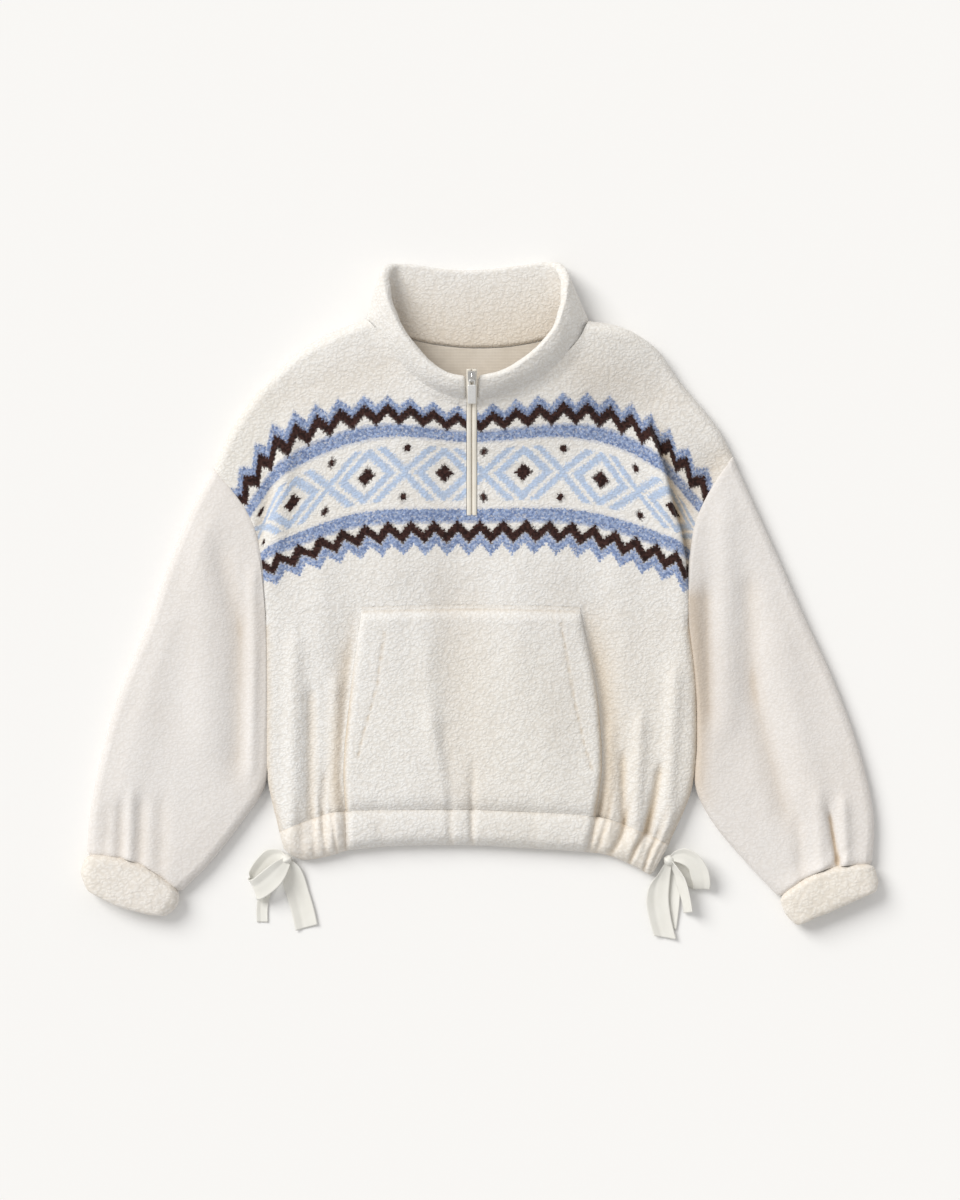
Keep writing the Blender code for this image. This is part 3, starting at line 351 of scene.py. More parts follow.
def frontHeight(x, y):
    # the cloth rises round the neck
    (neckX, neckY), (reachX, reachY) = body["neckMiddle"], body["neckReach"]
    away = np.hypot((x - neckX) / reachX, (y - neckY) / reachY)
    neck = 1 - smooth(np.clip((away - 1.0) / 0.95, 0, 1))
    return body["top"] + body["neckRise"] * neck + foldHeight(body["folds"], x, y)


def pocketDrop(column, row):
    # the cloth drops beside the pocket's open sides, more narrowly on the right
    (leftDepth, leftReach), (rightDepth, rightReach) = body["dropLeft"], body["dropRight"]
    start, end = body["pocketSides"]
    right, left = np.maximum(column - end, 0) / rightReach, np.maximum(start - column, 0) / leftReach
    drop = rightDepth * right * np.exp(1 - right) + leftDepth * left * np.exp(1 - left)
    return drop * np.interp(row, (-235, -205, -60, -15, 5), (0.9, 1.0, 0.9, 0.4, 0))


def gatherDepth(column, share):
    # share runs from the hem's seam to its lower edge
    total = np.zeros(len(column))
    for seamColumn, edgeColumn, halfWidth, depth in hem["gathers"]:
        middle = seamColumn + (edgeColumn - seamColumn) * share
        total += depth * bell(column - middle, halfWidth)
    return total


def nearLine(points, x, y):
    # distance from a line of straight runs
    best = np.full(len(x), 1e3)
    for (startX, startY), (endX, endY) in zip(points[:-1], points[1:]):
        runX, runY = endX - startX, endY - startY
        share = np.clip(((x - startX) * runX + (y - startY) * runY) / (runX ** 2 + runY ** 2), 0, 1)
        best = np.minimum(best, np.hypot(x - startX - runX * share, y - startY - runY * share))
    return best


def fromEnds(spot, plan, row, ends=body["sides"]):
    # distances from two columns of the cloth, as a rule its side edges
    return [measure(spot - plan(np.full(len(row), end, float), row)) for end in ends]


def frontPoint(column, row):
    spot = frontPlan(column, row)
    height = frontHeight(*spot.T) + sideFoldHeight(*spot.T)[0]
    left, right = fromEnds(spot, frontPlan, row)
    up = np.clip((row - body["armpit"]) / 25, 0, 1)
    lowest = body["lowest"] + (body["top"] - body["armholeDip"] - body["lowest"]) * up
    pressed = np.where(column < 0, body["pressedLeft"], body["pressedRight"])
    lowest = np.maximum(lowest, body["lowest"] + pressed * np.clip((row + 222) / 40, 0, 1))
    height = lowest + (height - lowest) * roll(left, body["edgeRoll"]) * roll(right, body["edgeRoll"])
    first, last = body["neckSides"]
    neck = np.clip(np.minimum(column - first, last - column) / 22, 0, 1)
    height += body["neckFlare"] * neck * bell(body["shoulder"] - row, 12)
    # the neck edge runs on under the collar
    inwards = np.array(body["neckMiddle"]) - spot
    inwards /= measure(inwards)[:, None] + 1e-9
    tucked = neck * np.clip((row - body["tuckFrom"]) / (body["shoulder"] - body["tuckFrom"]), 0, 1) ** 2
    spot = spot + inwards * (body["neckTuck"] * tucked)[:, None]
    for end, sign in zip(body["pocketSides"], (1, -1)):
        nearest = np.where((column - end) * sign <= 0, column, end)
        away = measure(spot - frontPlan(nearest, body["shoulder"]))
        height = body["lowest"] + (height - body["lowest"]) * roll(away, body["edgeRoll"])
    height -= hem["seamDip"] * bell(row - body["hemSeam"], hem["seamWidth"])
    height -= pocketDrop(column, row)
    height -= gatherDepth(column, 0.0) * bell(row - body["hemSeam"], hem["gatherReach"])
    away = np.minimum(*[np.abs(column - line) for line in body["zipStitches"]])
    height -= body["zipStitchDip"] * bell(away, body["zipStitchWidth"]) * (row > body["zipEnd"] - 4)
    return np.column_stack((spot, np.maximum(height, body["lowest"])))


def selectOnly(piece):
    bpy.ops.object.select_all(action="DESELECT")
    piece.select_set(True)
    bpy.context.view_layer.objects.active = piece


def readPoints(mesh):
    co = np.empty(len(mesh.vertices) * 3, np.float32)
    mesh.vertices.foreach_get("co", co)
    return co.reshape(-1, 3)


def writePoints(mesh, spots):
    mesh.vertices.foreach_set("co", spots.astype(np.float32).ravel())
    mesh.update()


def addGrid(name, columns, rows, place):
    # a grid laid out by place(column, row), both in millimetres. its UV map keeps the columns and rows
    columns, rows = np.asarray(columns, float), np.asarray(rows, float)
    bpy.ops.object.select_all(action="DESELECT")
    bpy.ops.mesh.primitive_grid_add(x_subdivisions=len(columns) - 1, y_subdivisions=len(rows) - 1, size=2)
    piece = bpy.context.object
    piece.name = name
    mesh = piece.data
    mesh.name = name
    co = readPoints(mesh)
    column = columns[np.rint((co[:, 0] + 1) / 2 * (len(columns) - 1)).astype(int)]
    row = rows[np.rint((co[:, 1] + 1) / 2 * (len(rows) - 1)).astype(int)]
    writePoints(mesh, (place(column, row) + tableShift) * mm)
    return piece, column, row


def writeUv(piece, across, up):
    # millimetres along the cloth, kept as metres in the UV map
    mesh = piece.data
    corner = np.empty(len(mesh.loops), int)
    mesh.loops.foreach_get("vertex_index", corner)
    uv = np.column_stack((across, up))[corner] * mm
    mesh.uv_layers[0].data.foreach_set("uv", uv.astype(np.float32).ravel())


def writeTint(piece, name, amount):
    layer = piece.data.attributes.new(name, "FLOAT", "POINT")
    layer.data.foreach_set("value", np.clip(amount, 0, 1).astype(np.float32))


def spacing(start, end, step):
    return np.linspace(start, end, max(2, int(round(abs(end - start) / step)) + 1))


def applyAll(piece):
    selectOnly(piece)
    for modifier in list(piece.modifiers):
        bpy.ops.object.modifier_apply(modifier=modifier.name)


def thicken(piece, thickness, offset=-1):
    modifier = piece.modifiers.new("wall", "SOLIDIFY")
    modifier.thickness = thickness * mm
    modifier.offset = offset
    applyAll(piece)


def raiseNap(piece, amount=1.0):
    # clumps of pile along the surface and its outline
    for name, size, depth in (("clump", 0.005, 0.38), ("lump", 0.017, 0.8)):
        texture = bpy.data.textures.get(name) or bpy.data.textures.new(name, "CLOUDS")
        texture.noise_scale = size
        texture.noise_depth = 1
        modifier = piece.modifiers.new(name, "DISPLACE")
        modifier.texture = texture
        modifier.texture_coords = "LOCAL"
        modifier.strength = depth * amount * mm
        modifier.mid_level = 0.5
    applyAll(piece)


def closePiece(piece, capped=False):
    # joins the seams of a closed shape, fills its small open ends and turns its faces outwards
    selectOnly(piece)
    bpy.ops.object.mode_set(mode="EDIT")
    bpy.ops.mesh.select_all(action="SELECT")
    bpy.ops.mesh.remove_doubles(threshold=0.00001)
    if capped:
        bpy.ops.mesh.fill_holes(sides=0)
    bpy.ops.mesh.normals_make_consistent(inside=False)
    bpy.ops.object.mode_set(mode="OBJECT")


def restOnTable(piece):
    spots = readPoints(piece.data)
    spots[:, 2] = np.maximum(spots[:, 2], 0)
    writePoints(piece.data, spots)


def finishPiece(piece, material):
    piece.data.materials.clear()
    piece.data.materials.append(material)
    piece.data.shade_smooth()
    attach(piece, "garment")


def setInputs(node, values):
    for name, value in values.items():
        node.inputs[name].default_value = value


def built(tree, value):
    # a sum in brackets becomes its nodes. sockets and numbers stay
    return mathNode(tree, *value) if isinstance(value, tuple) else value


def mathNode(tree, operation, *values):
    # each value is a socket, a number, or a sum: its operation and values in brackets
    node = tree.nodes.new("ShaderNodeMath")
    node.operation = operation
    for place, value in enumerate(values):
        value = built(tree, value)
        if hasattr(value, "links"):
            tree.links.new(value, node.inputs[place])
        else:
            node.inputs[place].default_value = value
    return node.outputs[0]


def mixColour(tree, share, first, second, blend="MIX"):
    node = tree.nodes.new("ShaderNodeMix")
    node.data_type = "RGBA"
    node.blend_type = blend
    for place, value in ((0, built(tree, share)), (6, first), (7, second)):
        if hasattr(value, "links"):
            tree.links.new(value, node.inputs[place])
        else:
            node.inputs[place].default_value = (*value, 1)
    return node.outputs[2]


def noise(tree, spots, scale, detail=2.0, roughness=0.5):
    node = tree.nodes.new("ShaderNodeTexNoise")
    tree.links.new(spots, node.inputs["Vector"])
    setInputs(node, {"Scale": scale, "Detail": detail, "Roughness": roughness})
    return node


def attribute(tree, name):
    node = tree.nodes.new("ShaderNodeAttribute")
    node.attribute_name = name
    return node.outputs["Fac"]


def ramp(tree, value, low, high):
    node = tree.nodes.new("ShaderNodeMapRange")
    node.interpolation_type = "SMOOTHSTEP"
    tree.links.new(built(tree, value), node.inputs["Value"])
    setInputs(node, {"From Min": low, "From Max": high})
    return node.outputs["Result"]


def objectSpots(tree):
    return tree.nodes.new("ShaderNodeTexCoord").outputs["Object"]


def mapDirections(tree):
    # across and up the piece's own map, in metres
    split = tree.nodes.new("ShaderNodeSeparateXYZ")
    tree.links.new(tree.nodes.new("ShaderNodeUVMap").outputs["UV"], split.inputs[0])
    return split.outputs[0], split.outputs[1]


def addRelief(tree, shader, height, strength, distance):
    relief = tree.nodes.new("ShaderNodeBump")
    setInputs(relief, {"Strength": strength, "Distance": distance})
    tree.links.new(height, relief.inputs["Height"])
    tree.links.new(relief.outputs["Normal"], shader.inputs["Normal"])


def newMaterial(name, roughness):
    material = bpy.data.materials.new(name)
    material.use_nodes = True
    tree = material.node_tree
    shader = tree.nodes["Principled BSDF"]
    shader.inputs["Roughness"].default_value = roughness
    return material, tree, shader


# the knitted band, in millimetres of cloth. a pair is a row's middle and half its width
chart = {
    "stitch": 3.25, "snap": 0.66, "fuzz": 7.6, "fuzzScale": 330, "soft": 2.1,
    # the zigzags above and below the main panel, and the plain rows beside it
    "tooth": 13.0, "topPeriod": 25.8, "topStart": 286.0, "zipJump": 13.5, "lowPeriod": 24.3, "lowStart": 9.0,
    "brownTop": (194.2, 7.0), "blueTop": (204.6, 6.2), "brownLow": (67.3, 7.1), "blueLow": (53.2, 6.2),
    "plainTop": (180.7, 7.9), "plainLow": (92.0, 7.8),
    # the main panel: brown crossings with two pale rings round each, and brown dots between them
    "motif": 43.2, "motifAt": 56.4, "panelMiddle": 135.7, "panelHalf": 28.0, "ringSlant": 1.12,
    "rings": ((24.0, 5.2), (39.5, 4.6)), "crossing": 10.2, "dot": 5.6, "dotHeight": 24.5,
}

yarns = {
    "pale": ((0.35, 0.47, 0.69), (0.49, 0.61, 0.81)), "blue": ((0.12, 0.18, 0.36), (0.36, 0.46, 0.69)),
    "brown": ((0.018, 0.007, 0.006), (0.052, 0.022, 0.018)),
}


def fairIsle(tree, spots):
    # the band drawn stitch by stitch: returns each yarn's share
    fuzz = tree.nodes.new("ShaderNodeSeparateColor")
    tree.links.new(noise(tree, spots, chart["fuzzScale"], 3.0, 0.65).outputs["Color"], fuzz.inputs[0])
    across, up = [
        mathNode(tree, "ADD", ("MULTIPLY", way, 1000), ("MULTIPLY", ("SUBTRACT", part, 0.5), chart["fuzz"]))
        for way, part in zip(mapDirections(tree), fuzz.outputs)]
    stitch, tooth, motif = chart["stitch"], chart["tooth"], chart["motif"]

    def wholeStitch(value):
        value = built(tree, value)
        whole, snap = ("SNAP", ("ADD", value, stitch / 2), stitch), chart["snap"]
        return mathNode(tree, "ADD", ("MULTIPLY", value, 1 - snap), ("MULTIPLY", whole, snap))

    def below(value, limit):
        # one where the value is under the limit, with a fuzzy edge
        return ramp(tree, value, limit + chart["soft"], limit - chart["soft"])

    def within(value, middle, half):
        return below(("ABSOLUTE", ("SUBTRACT", value, middle)), half)

    def either(*shares):
        total = shares[0]
        for share in shares[1:]:
            total = mathNode(tree, "MAXIMUM", total, share)
        return total

    stitchUp = wholeStitch(up)
    pastZip = ("ADD", across, ("MULTIPLY", ("GREATER_THAN", across, 0.0), chart["zipJump"]))
    topRun = wholeStitch(("MULTIPLY", ("ADD", pastZip, chart["topStart"]), 2 * tooth / chart["topPeriod"]))
    fromStart = ("MULTIPLY", ("SUBTRACT", across, chart["lowStart"]), 2 * tooth / chart["lowPeriod"])
    lowRun = wholeStitch(("ADD", fromStart, tooth * 21))
    fromTop, fromLow = [
        mathNode(tree, "SUBTRACT", stitchUp, ("PINGPONG", run, tooth)) for run in (topRun, lowRun)]
    blue = either(within(fromTop, *chart["blueTop"]), within(fromLow, *chart["blueLow"]),
                  within(stitchUp, *chart["plainTop"]), within(stitchUp, *chart["plainLow"]))
    sideways = mathNode(
        tree, "PINGPONG", wholeStitch(("SUBTRACT", across, chart["motifAt"] - motif * 8)), motif)
    height = mathNode(tree, "ABSOLUTE", wholeStitch(("SUBTRACT", up, chart["panelMiddle"])))
    ring = mathNode(tree, "ADD", ("DIVIDE", sideways, chart["ringSlant"]), height)
    pale = mathNode(tree, "MULTIPLY", below(height, chart["panelHalf"]),
                    either(*[within(ring, *row) for row in chart["rings"]]))
    dot = ("ADD", ("SUBTRACT", motif, sideways), ("ABSOLUTE", ("SUBTRACT", height, chart["dotHeight"])))
    brown = either(within(fromTop, *chart["brownTop"]), within(fromLow, *chart["brownLow"]),
                   below(("ADD", sideways, height), chart["crossing"]), below(dot, chart["dot"]))
    count = ("ADD", ("DIVIDE", wholeStitch(across), stitch), ("DIVIDE", stitchUp, stitch))
    return blue, pale, brown, mathNode(tree, "PINGPONG", count, 1.0)


def pileHeight(tree, spots, size):
    # clumped pile: rounded curls with finer fibre on them
    cells = tree.nodes.new("ShaderNodeTexVoronoi")
    cells.feature = "SMOOTH_F1"
    tree.links.new(spots, cells.inputs["Vector"])
    setInputs(cells, {"Scale": size, "Smoothness": 0.35})
    curl = noise(tree, spots, size * 2.4, 3.0, 0.6).outputs["Fac"]
    clump = ("SUBTRACT", 1.0, cells.outputs["Distance"])
    return mathNode(tree, "ADD", ("MULTIPLY", clump, 0.8), ("MULTIPLY", curl, 0.45))


def sherpa(name, light, dark, warm, patterned=False, size=320.0, bump=0.52, pitShade=0.34):
    material, tree, shader = newMaterial(name, 0.95)
    spots = objectSpots(tree)

    def speckle(scale, detail, low, high):
        return ramp(tree, noise(tree, spots, scale, detail).outputs["Fac"], low, high)

    bent = tree.nodes.new("ShaderNodeVectorMath")
    bent.operation = "MULTIPLY_ADD"
    tree.links.new(noise(tree, spots, 140.0, 1.0).outputs["Color"], bent.inputs[0])
    bent.inputs[1].default_value = (0.006, 0.006, 0.006)
    tree.links.new(spots, bent.inputs[2])
    rows = tree.nodes.new("ShaderNodeMapping")    # clumps lie in loose rows across the cloth
    rows.inputs["Scale"].default_value = (0.82, 1.12, 1.0)
    tree.links.new(bent.outputs[0], rows.inputs["Vector"])
    height = pileHeight(tree, rows.outputs[0], size)
    colour = mixColour(tree, speckle(9.0, 2.0, 0.35, 0.65), light, dark)
    colour = mixColour(tree, ("MULTIPLY", speckle(3.2, 1.0, 0.45, 0.7), 0.35), colour, warm)
    if patterned:
        blue, pale, brown, parity = fairIsle(tree, spots)
        fleck = speckle(330, 2.0, 0.36, 0.64)
        # cream pile shows through the pale and the blue yarn
        pale = ("MULTIPLY", pale, ("ADD", 0.74, ("MULTIPLY", fleck, 0.24)))
        blue = ("MULTIPLY", blue, ("SUBTRACT", 0.97, ("MULTIPLY", speckle(420, 1.0, 0.52, 0.72), 0.45)))
        mixed = ("ADD", ("MULTIPLY", parity, 0.2), ("MULTIPLY", fleck, 0.75))
        for yarn, share, part in (("pale", pale, fleck), ("blue", blue, mixed), ("brown", brown, fleck)):
            colour = mixColour(tree, share, colour, mixColour(tree, part, *yarns[yarn]))
    # painted shade darkens the colour: ochre in creases, folds and seams, where the same ochre also draws the
    # pocket's stitches, grey-brown in the pits between the clumps, and grey in broad patches where the
    # garment lies in shade
    # painted shade in the pits between the clumps
    low = ("SUBTRACT", 1.0, ramp(tree, height, 0.42, 0.86))
    for share, tone in ((("MULTIPLY", attribute(tree, "creaseShadeAndStitches"), 0.75), (0.70, 0.54, 0.34)),
                        (("MULTIPLY", low, pitShade), (0.74, 0.68, 0.60)),
                        (attribute(tree, "broadShade"), (0.86, 0.85, 0.84))):
        colour = mixColour(tree, share, colour, tone, "MULTIPLY")
    tree.links.new(colour, shader.inputs["Base Color"])
    addRelief(tree, shader, height, bump, 0.0019)
    setInputs(shader, {"Sheen Weight": 0.25, "Sheen Roughness": 0.5, "Sheen Tint": (1.0, 0.98, 0.95, 1.0),
                       "Specular IOR Level": 0.12})
    return material


def weave(name, colour, dark, roughness, across, up, sheen):
    # fine woven or knitted rows on the piece's own map
    material, tree, shader = newMaterial(name, roughness)
    warp, weft = [("SINE", ("MULTIPLY", way, 2 * math.pi / (gap * mm)))
                  for way, gap in zip(mapDirections(tree), (across, up))]
    cloth = mathNode(tree, "ADD", ("MULTIPLY", warp, 0.25), ("MULTIPLY", weft, 0.25))
    wear = noise(tree, objectSpots(tree), 60.0, 3.0).outputs["Fac"]
    share = ramp(tree, ("ADD", ("MULTIPLY", cloth, 0.4), wear), 0.2, 0.8)
    tree.links.new(mixColour(tree, share, dark, colour), shader.inputs["Base Color"])
    addRelief(tree, shader, cloth, 0.35, 0.0002)
    setInputs(shader, {"Sheen Weight": sheen, "Specular IOR Level": 0.3})
    return material


def hardFinish(name, colour, roughness, metallic):
    material, tree, shader = newMaterial(name, roughness)
    marks = noise(tree, objectSpots(tree), 900.0, 3.0).outputs["Fac"]
    worn = tuple(part * 0.86 for part in colour)
    tree.links.new(mixColour(tree, ramp(tree, marks, 0.4, 0.7), colour, worn), shader.inputs["Base Color"])
    rough = mathNode(tree, "ADD", ("MULTIPLY", marks, 0.2), roughness - 0.1)
    tree.links.new(rough, shader.inputs["Roughness"])
    shader.inputs["Metallic"].default_value = metallic
    return material


print("materials")
cream = (0.83, 0.82, 0.802), (0.81, 0.795, 0.77), (0.83, 0.80, 0.735)
# the sleeves' cream is a darker copy of the body's: painted shade for the sleeves
shadedSleeveCream = (0.785, 0.76, 0.74), (0.765, 0.735, 0.71), (0.775, 0.73, 0.69)
trimCream = (0.83, 0.795, 0.75), (0.81, 0.77, 0.71), (0.82, 0.765, 0.68)
bandedFleece = sherpa("bandedFleece", *cream, patterned=True)
plainFleece = sherpa("plainFleece", *cream)
shadedSleeveFleece = sherpa("shadedSleeveFleece", *shadedSleeveCream, bump=0.26, pitShade=0.19)
trimFleece = sherpa("trimFleece", *trimCream, size=270.0, bump=0.44)
facing = weave("facing", (0.67, 0.61, 0.53), (0.58, 0.52, 0.44), 0.8, 1.6, 3.3, 0.2)
ribbonSatin = weave("ribbonSatin", (0.83, 0.82, 0.77), (0.79, 0.775, 0.72), 0.34, 0.5, 0.45, 0.3)
zipTape = weave("zipTape", (0.83, 0.79, 0.71), (0.76, 0.71, 0.62), 0.8, 0.8, 0.8, 0.2)
zipTeeth = hardFinish("zipTeeth", (0.62, 0.57, 0.49), 0.5, 0.0)
sliderMetal = hardFinish("sliderMetal", (0.66, 0.65, 0.63), 0.3, 0.9)
pullEnamel = hardFinish("pullEnamel", (0.98, 0.975, 0.955), 0.3, 0.0)


print("front")
columns = np.r_[-238, -237.7, -237.0, spacing(-236, -15, body["step"]), -9,
                spacing(-3, 232, body["step"]), 233.0, 233.7, 234]
rows = np.r_[spacing(body["hemSeam"], 288, body["step"]), 289.2, 290]
front, column, row = addGrid("frontPanel", columns, rows, frontPoint)


def topLine(column, share):
    # between the upper blue band and the tips of the highest zigzag
    base = frontPlan(column, body["bandTop"])
    return base + (curveThrough(body["columns"], body["topTips"], column) - base) * share


def lengthAlong(line, column):
    # cloth length along a line of knitting, from the zip
    knots = np.linspace(*body["sides"], 240)
    lengths = runningLength(line(knots))
    lengths -= np.interp(halfZip["middle"], knots, lengths)
    return np.interp(column, knots, lengths)


def bandCoordinates(column, row):
    # the knitting follows its own lines: above, in and below the main panel
    above = lengthAlong(lambda at: topLine(at, 0.45), column)
    panel = lengthAlong(lambda at: frontPlan(at, 136.0), column)
    below = lengthAlong(lambda at: frontPlan(at, 61.0), column)
    across = np.where(row > body["bandTop"], above, np.where(row > body["bandLow"], panel, below))
    spot, base = frontPlan(column, row), frontPlan(column, body["bandTop"])
    rise = measure(topLine(column, 1.0) - base)
    climb = body["bandTop"] + 43 * measure(spot - base) / rise
    return across, np.where(row > body["bandTop"], climb, row)


# painted shade in the hollows of the hem's gathers, darker where they are deeper
def gatherShade(column, share):
    return (gatherDepth(column, share) / 5.5) ** 1.5 * 0.7


writeUv(front, *bandCoordinates(column, row))
plan = frontPlan(column, row)
# painted shade: in the folds' hollows, on the cloth under the side fold, along the side edges below the
# armpits, beside the pocket and at the hem's gathers, with a faint warm tone right of the pocket
paintedShade = np.clip(-foldHeight(body["folds"], *plan.T) / 6, 0, 1) * 0.7
paintedShade += sideFoldHeight(*plan.T)[1] * 0.9
paintedShade += 0.5 * bell(np.minimum(*fromEnds(plan, frontPlan, row)), 5) * (row < body["armpit"])
drop = pocketDrop(column, row)
paintedShade += 0.62 * np.where(column > 0, drop / body["dropRight"][0], (drop / body["dropLeft"][0]) ** 2)
paintedShade += gatherShade(column, 0.0) * bell(row - body["hemSeam"], 26)
paintedShade += 0.08 * np.clip((column - 120) / 16, 0, 1) * np.clip((20 - row) / 40, 0, 1)
writeTint(front, "creaseShadeAndStitches", paintedShade)


def patches(spots, x, y):
    # soft areas: middle x, y, half sizes, strength
    total = np.zeros(len(x))
    for middleX, middleY, halfX, halfY, strength in spots:
        total += strength * np.exp(-((x - middleX) / halfX) ** 2 - ((y - middleY) / halfY) ** 2)
    return total


# broad patches of painted shade, where the garment lies in shade
broadShadePatches = (
    (190, 255, 70, 60, 0.35), (95, 20, 40, 30, 0.3), (-120, -40, 50, 60, 0.25), (-180, -50, 24, 60, 0.15),
    (-60, 20, 40, 18, 0.3), (60, -70, 50, 80, 0.2), (-10, -255, 160, 26, 0.4), (10, 205, 90, 22, 0.3),
    (-44, 0, 18, 210, 0.6), (90, -140, 20, 80, 0.7), (90, 20, 24, 60, 0.35), (125, 225, 34, 32, 0.7),
    (228, 90, 16, 60, 1.4), (232, 160, 20, 34, 0.5),
)
# painted shade on the sleeves: the right sleeve is darker where it goes in under the body's edge
sleeveShadePatches = ((243, -30, 16, 120, 1.0), (262, -120, 18, 90, 0.5), (-250, -40, 14, 90, 0.15))
writeTint(front, "broadShade", patches(broadShadePatches, *plan.T))


def cutZipSlit(piece):
    # the cloth between the zip's columns, above the zip's end, comes out
    selectOnly(piece)
    end = (body["zipEnd"] + 2 + tableShift[1]) * mm
    left, right = [(column + tableShift[0]) * mm for column in body["slit"]]
    bpy.ops.object.mode_set(mode="EDIT")
    bpy.ops.mesh.select_mode(type="FACE")
    bpy.ops.mesh.select_all(action="DESELECT")
    bpy.ops.object.mode_set(mode="OBJECT")
    for face in piece.data.polygons:
        middle = face.center
        face.select = bool(left < middle.x < right and middle.y > end)
    bpy.ops.object.mode_set(mode="EDIT")
    bpy.ops.mesh.delete(type="FACE")
    bpy.ops.object.mode_set(mode="OBJECT")


cutZipSlit(front)
raiseNap(front)
finishPiece(front, bandedFleece)
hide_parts("front")


def neckScoop(share, high):
    # the back neck's line, from the left shoulder to the right
    scoop = 31 * (1 - (2 * share - 1) ** 2) ** 0.8
    return np.column_stack((-125 + 244 * share, high - 2 * share - scoop))


def backTop(column):
    # the back's top edge: both shoulders, and a shallow scoop for the neck between them
    spots = topEdge(column)
    left, right = body["pocketSides"]
    inside = (column > left) & (column < right)
    spots[inside] = neckScoop((column[inside] - left) / (right - left), 311)
    return spots


def backPlan(column, row):
    return frontPlan(column, row, backTop)


print("back")


def bothLayers(under):
    # a loop of columns, out along the under layer and back along the upper one
    return np.r_[under, under[-2:0:-1], under[0]], np.r_[np.zeros(len(under)), np.ones(len(under) - 2), 0]


backLoop, backLevel = bothLayers(np.r_[-238, -236.5, -234, spacing(-231, 227, 3.6), 230, 232.5, 234])
backLift = 6.4    # the height of the back's upper layer


def backPoint(station, row):
    station = station.astype(int)
    column, level = backLoop[station], backLevel[station]
    spot = backPlan(column, row)
    away = np.minimum(*fromEnds(spot, backPlan, row))
    away = np.minimum(away, measure(spot - backPlan(column, body["shoulder"])))
    height = backLift * (1 - roll(away, 8.0)) + 1.2 * bell(row - body["hemSeam"], 3)
    height = np.where(row <= body["hemSeam"], backLift, height)
    return np.column_stack((spot, np.where(level > 0, backLift, height)))


backRows = np.r_[-235, -234.7, spacing(-232, 282, 3.6), 285, 287.5, 289.2, 290]
back, station, row = addGrid("backPanel", np.arange(len(backLoop)), backRows, backPoint)
writeTint(back, "creaseShadeAndStitches", np.zeros(len(station)))
closePiece(back)
raiseNap(back)
restOnTable(back)
finishPiece(back, plainFleece)
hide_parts("back")


print("pocket")


def pocketPoint(column, row):
    spot = frontPoint(column, row)
    left, right = body["pocketSides"]
    across = np.clip((column - left) / (right - left), 0, 1)
    up = (row - body["hemSeam"]) / (body["pocketTop"] - body["hemSeam"])
    puff = pocket["puff"] * np.sin(np.pi * across) ** 0.5 * np.sin(np.pi * (0.25 + 0.75 * up)).clip(0) ** 0.7
    plan = frontPlan(column, row)
    side = np.minimum(*fromEnds(plan, frontPlan, row, body["pocketSides"]))
    rise = (pocket["wall"] + puff) * roll(side, pocket["edge"])
    top = np.clip((body["pocketTop"] - row) / pocket["topEdge"], 0, 1)
    rise *= 0.06 + 0.94 * top * top * (3 - 2 * top)
    low = np.clip((row - body["hemSeam"]) / 20, 0, 1)
    rise *= 0.4 + 0.6 * low * (2 - low)
    spot[:, 2] += pocket["lift"] + rise - pocket["stitchDip"] * pocketStitches(plan, row)
    return spot


def pocketStitches(plan, row):
    # a row of stitches along each side, and one under the top seam
    sides = np.minimum(*[nearLine(pocket[name], *plan.T) for name in ("stitchesLeft", "stitchesRight")])
    return bell(sides, 1.5) + 0.7 * bell(row - pocket["topStitch"], 1.4)


pocketColumns = np.r_[-135, -134.8, -134.2, -133.2, spacing(-132, 115, body["step"]),
                      116.2, 117.2, 117.8, 118]
pocketRows = np.r_[spacing(body["hemSeam"], -8, body["step"]), -6.5, -5.6, -5.1]
pocketPanel, column, row = addGrid("pocketPanel", pocketColumns, pocketRows, pocketPoint)
plan = frontPlan(column, row)
side = np.minimum(*fromEnds(plan, frontPlan, row, body["pocketSides"]))
# painted shade along the pocket's lower sides, in its folds and under its top seam, with broad painted shade
# over it; the rows of stitches are drawn as dashes in the same tone
pocketSideShade = np.clip((-40 - row) / 90, 0, 1) * bell(side, 3.0) * 0.8
paintedShade = np.clip(-foldHeight(body["folds"], *plan.T) / 6, 0, 1) * 0.4
dashes = 0.65 + 0.35 * np.sin(plan[:, 1] / 2.1)
stitchTint = 0.6 * pocketStitches(plan, row) * dashes
pocketTopShade = 0.22 * bell(row - body["pocketTop"] + 0.5, 1.6)
writeTint(pocketPanel, "creaseShadeAndStitches", pocketTopShade + pocketSideShade + paintedShade + stitchTint)
writeTint(pocketPanel, "broadShade", patches(broadShadePatches, *plan.T))
raiseNap(pocketPanel)
finishPiece(pocketPanel, plainFleece)
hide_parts("pocket")


def hemPlan(column, share):
    # share runs from the seam to the lower edge
    seam = frontPlan(column, body["hemSeam"])
    edge = np.asarray(hem["bottom"], float)
    bottom = curveThrough(edge[:, 0], edge[:, 1:], column)
    return seam + (bottom - seam) * np.asarray(share)[:, None]


def hemPoint(column, share):
    spot = hemPlan(column, share)
    lowest = body["lowest"]
    height = frontHeight(*spot.T) + hem["puff"] * np.sin(np.pi * share)
    first, last = hem["centreSides"]
    lift = np.clip(np.minimum(column - first, last - column) / 12, 0, 1)
    height += hem["centreLift"] * lift * lift * (3 - 2 * lift)
    height -= gatherDepth(column, share) + hem["seamDip"] * bell(share * hem["depth"], hem["seamWidth"])
    height = np.maximum(height, lowest) - lowest
    for away in (*fromEnds(spot, hemPlan, share), measure(spot - hemPlan(column, np.ones(len(column))))):
        height = height * roll(away, body["edgeRoll"])
    return np.column_stack((spot, lowest + height))


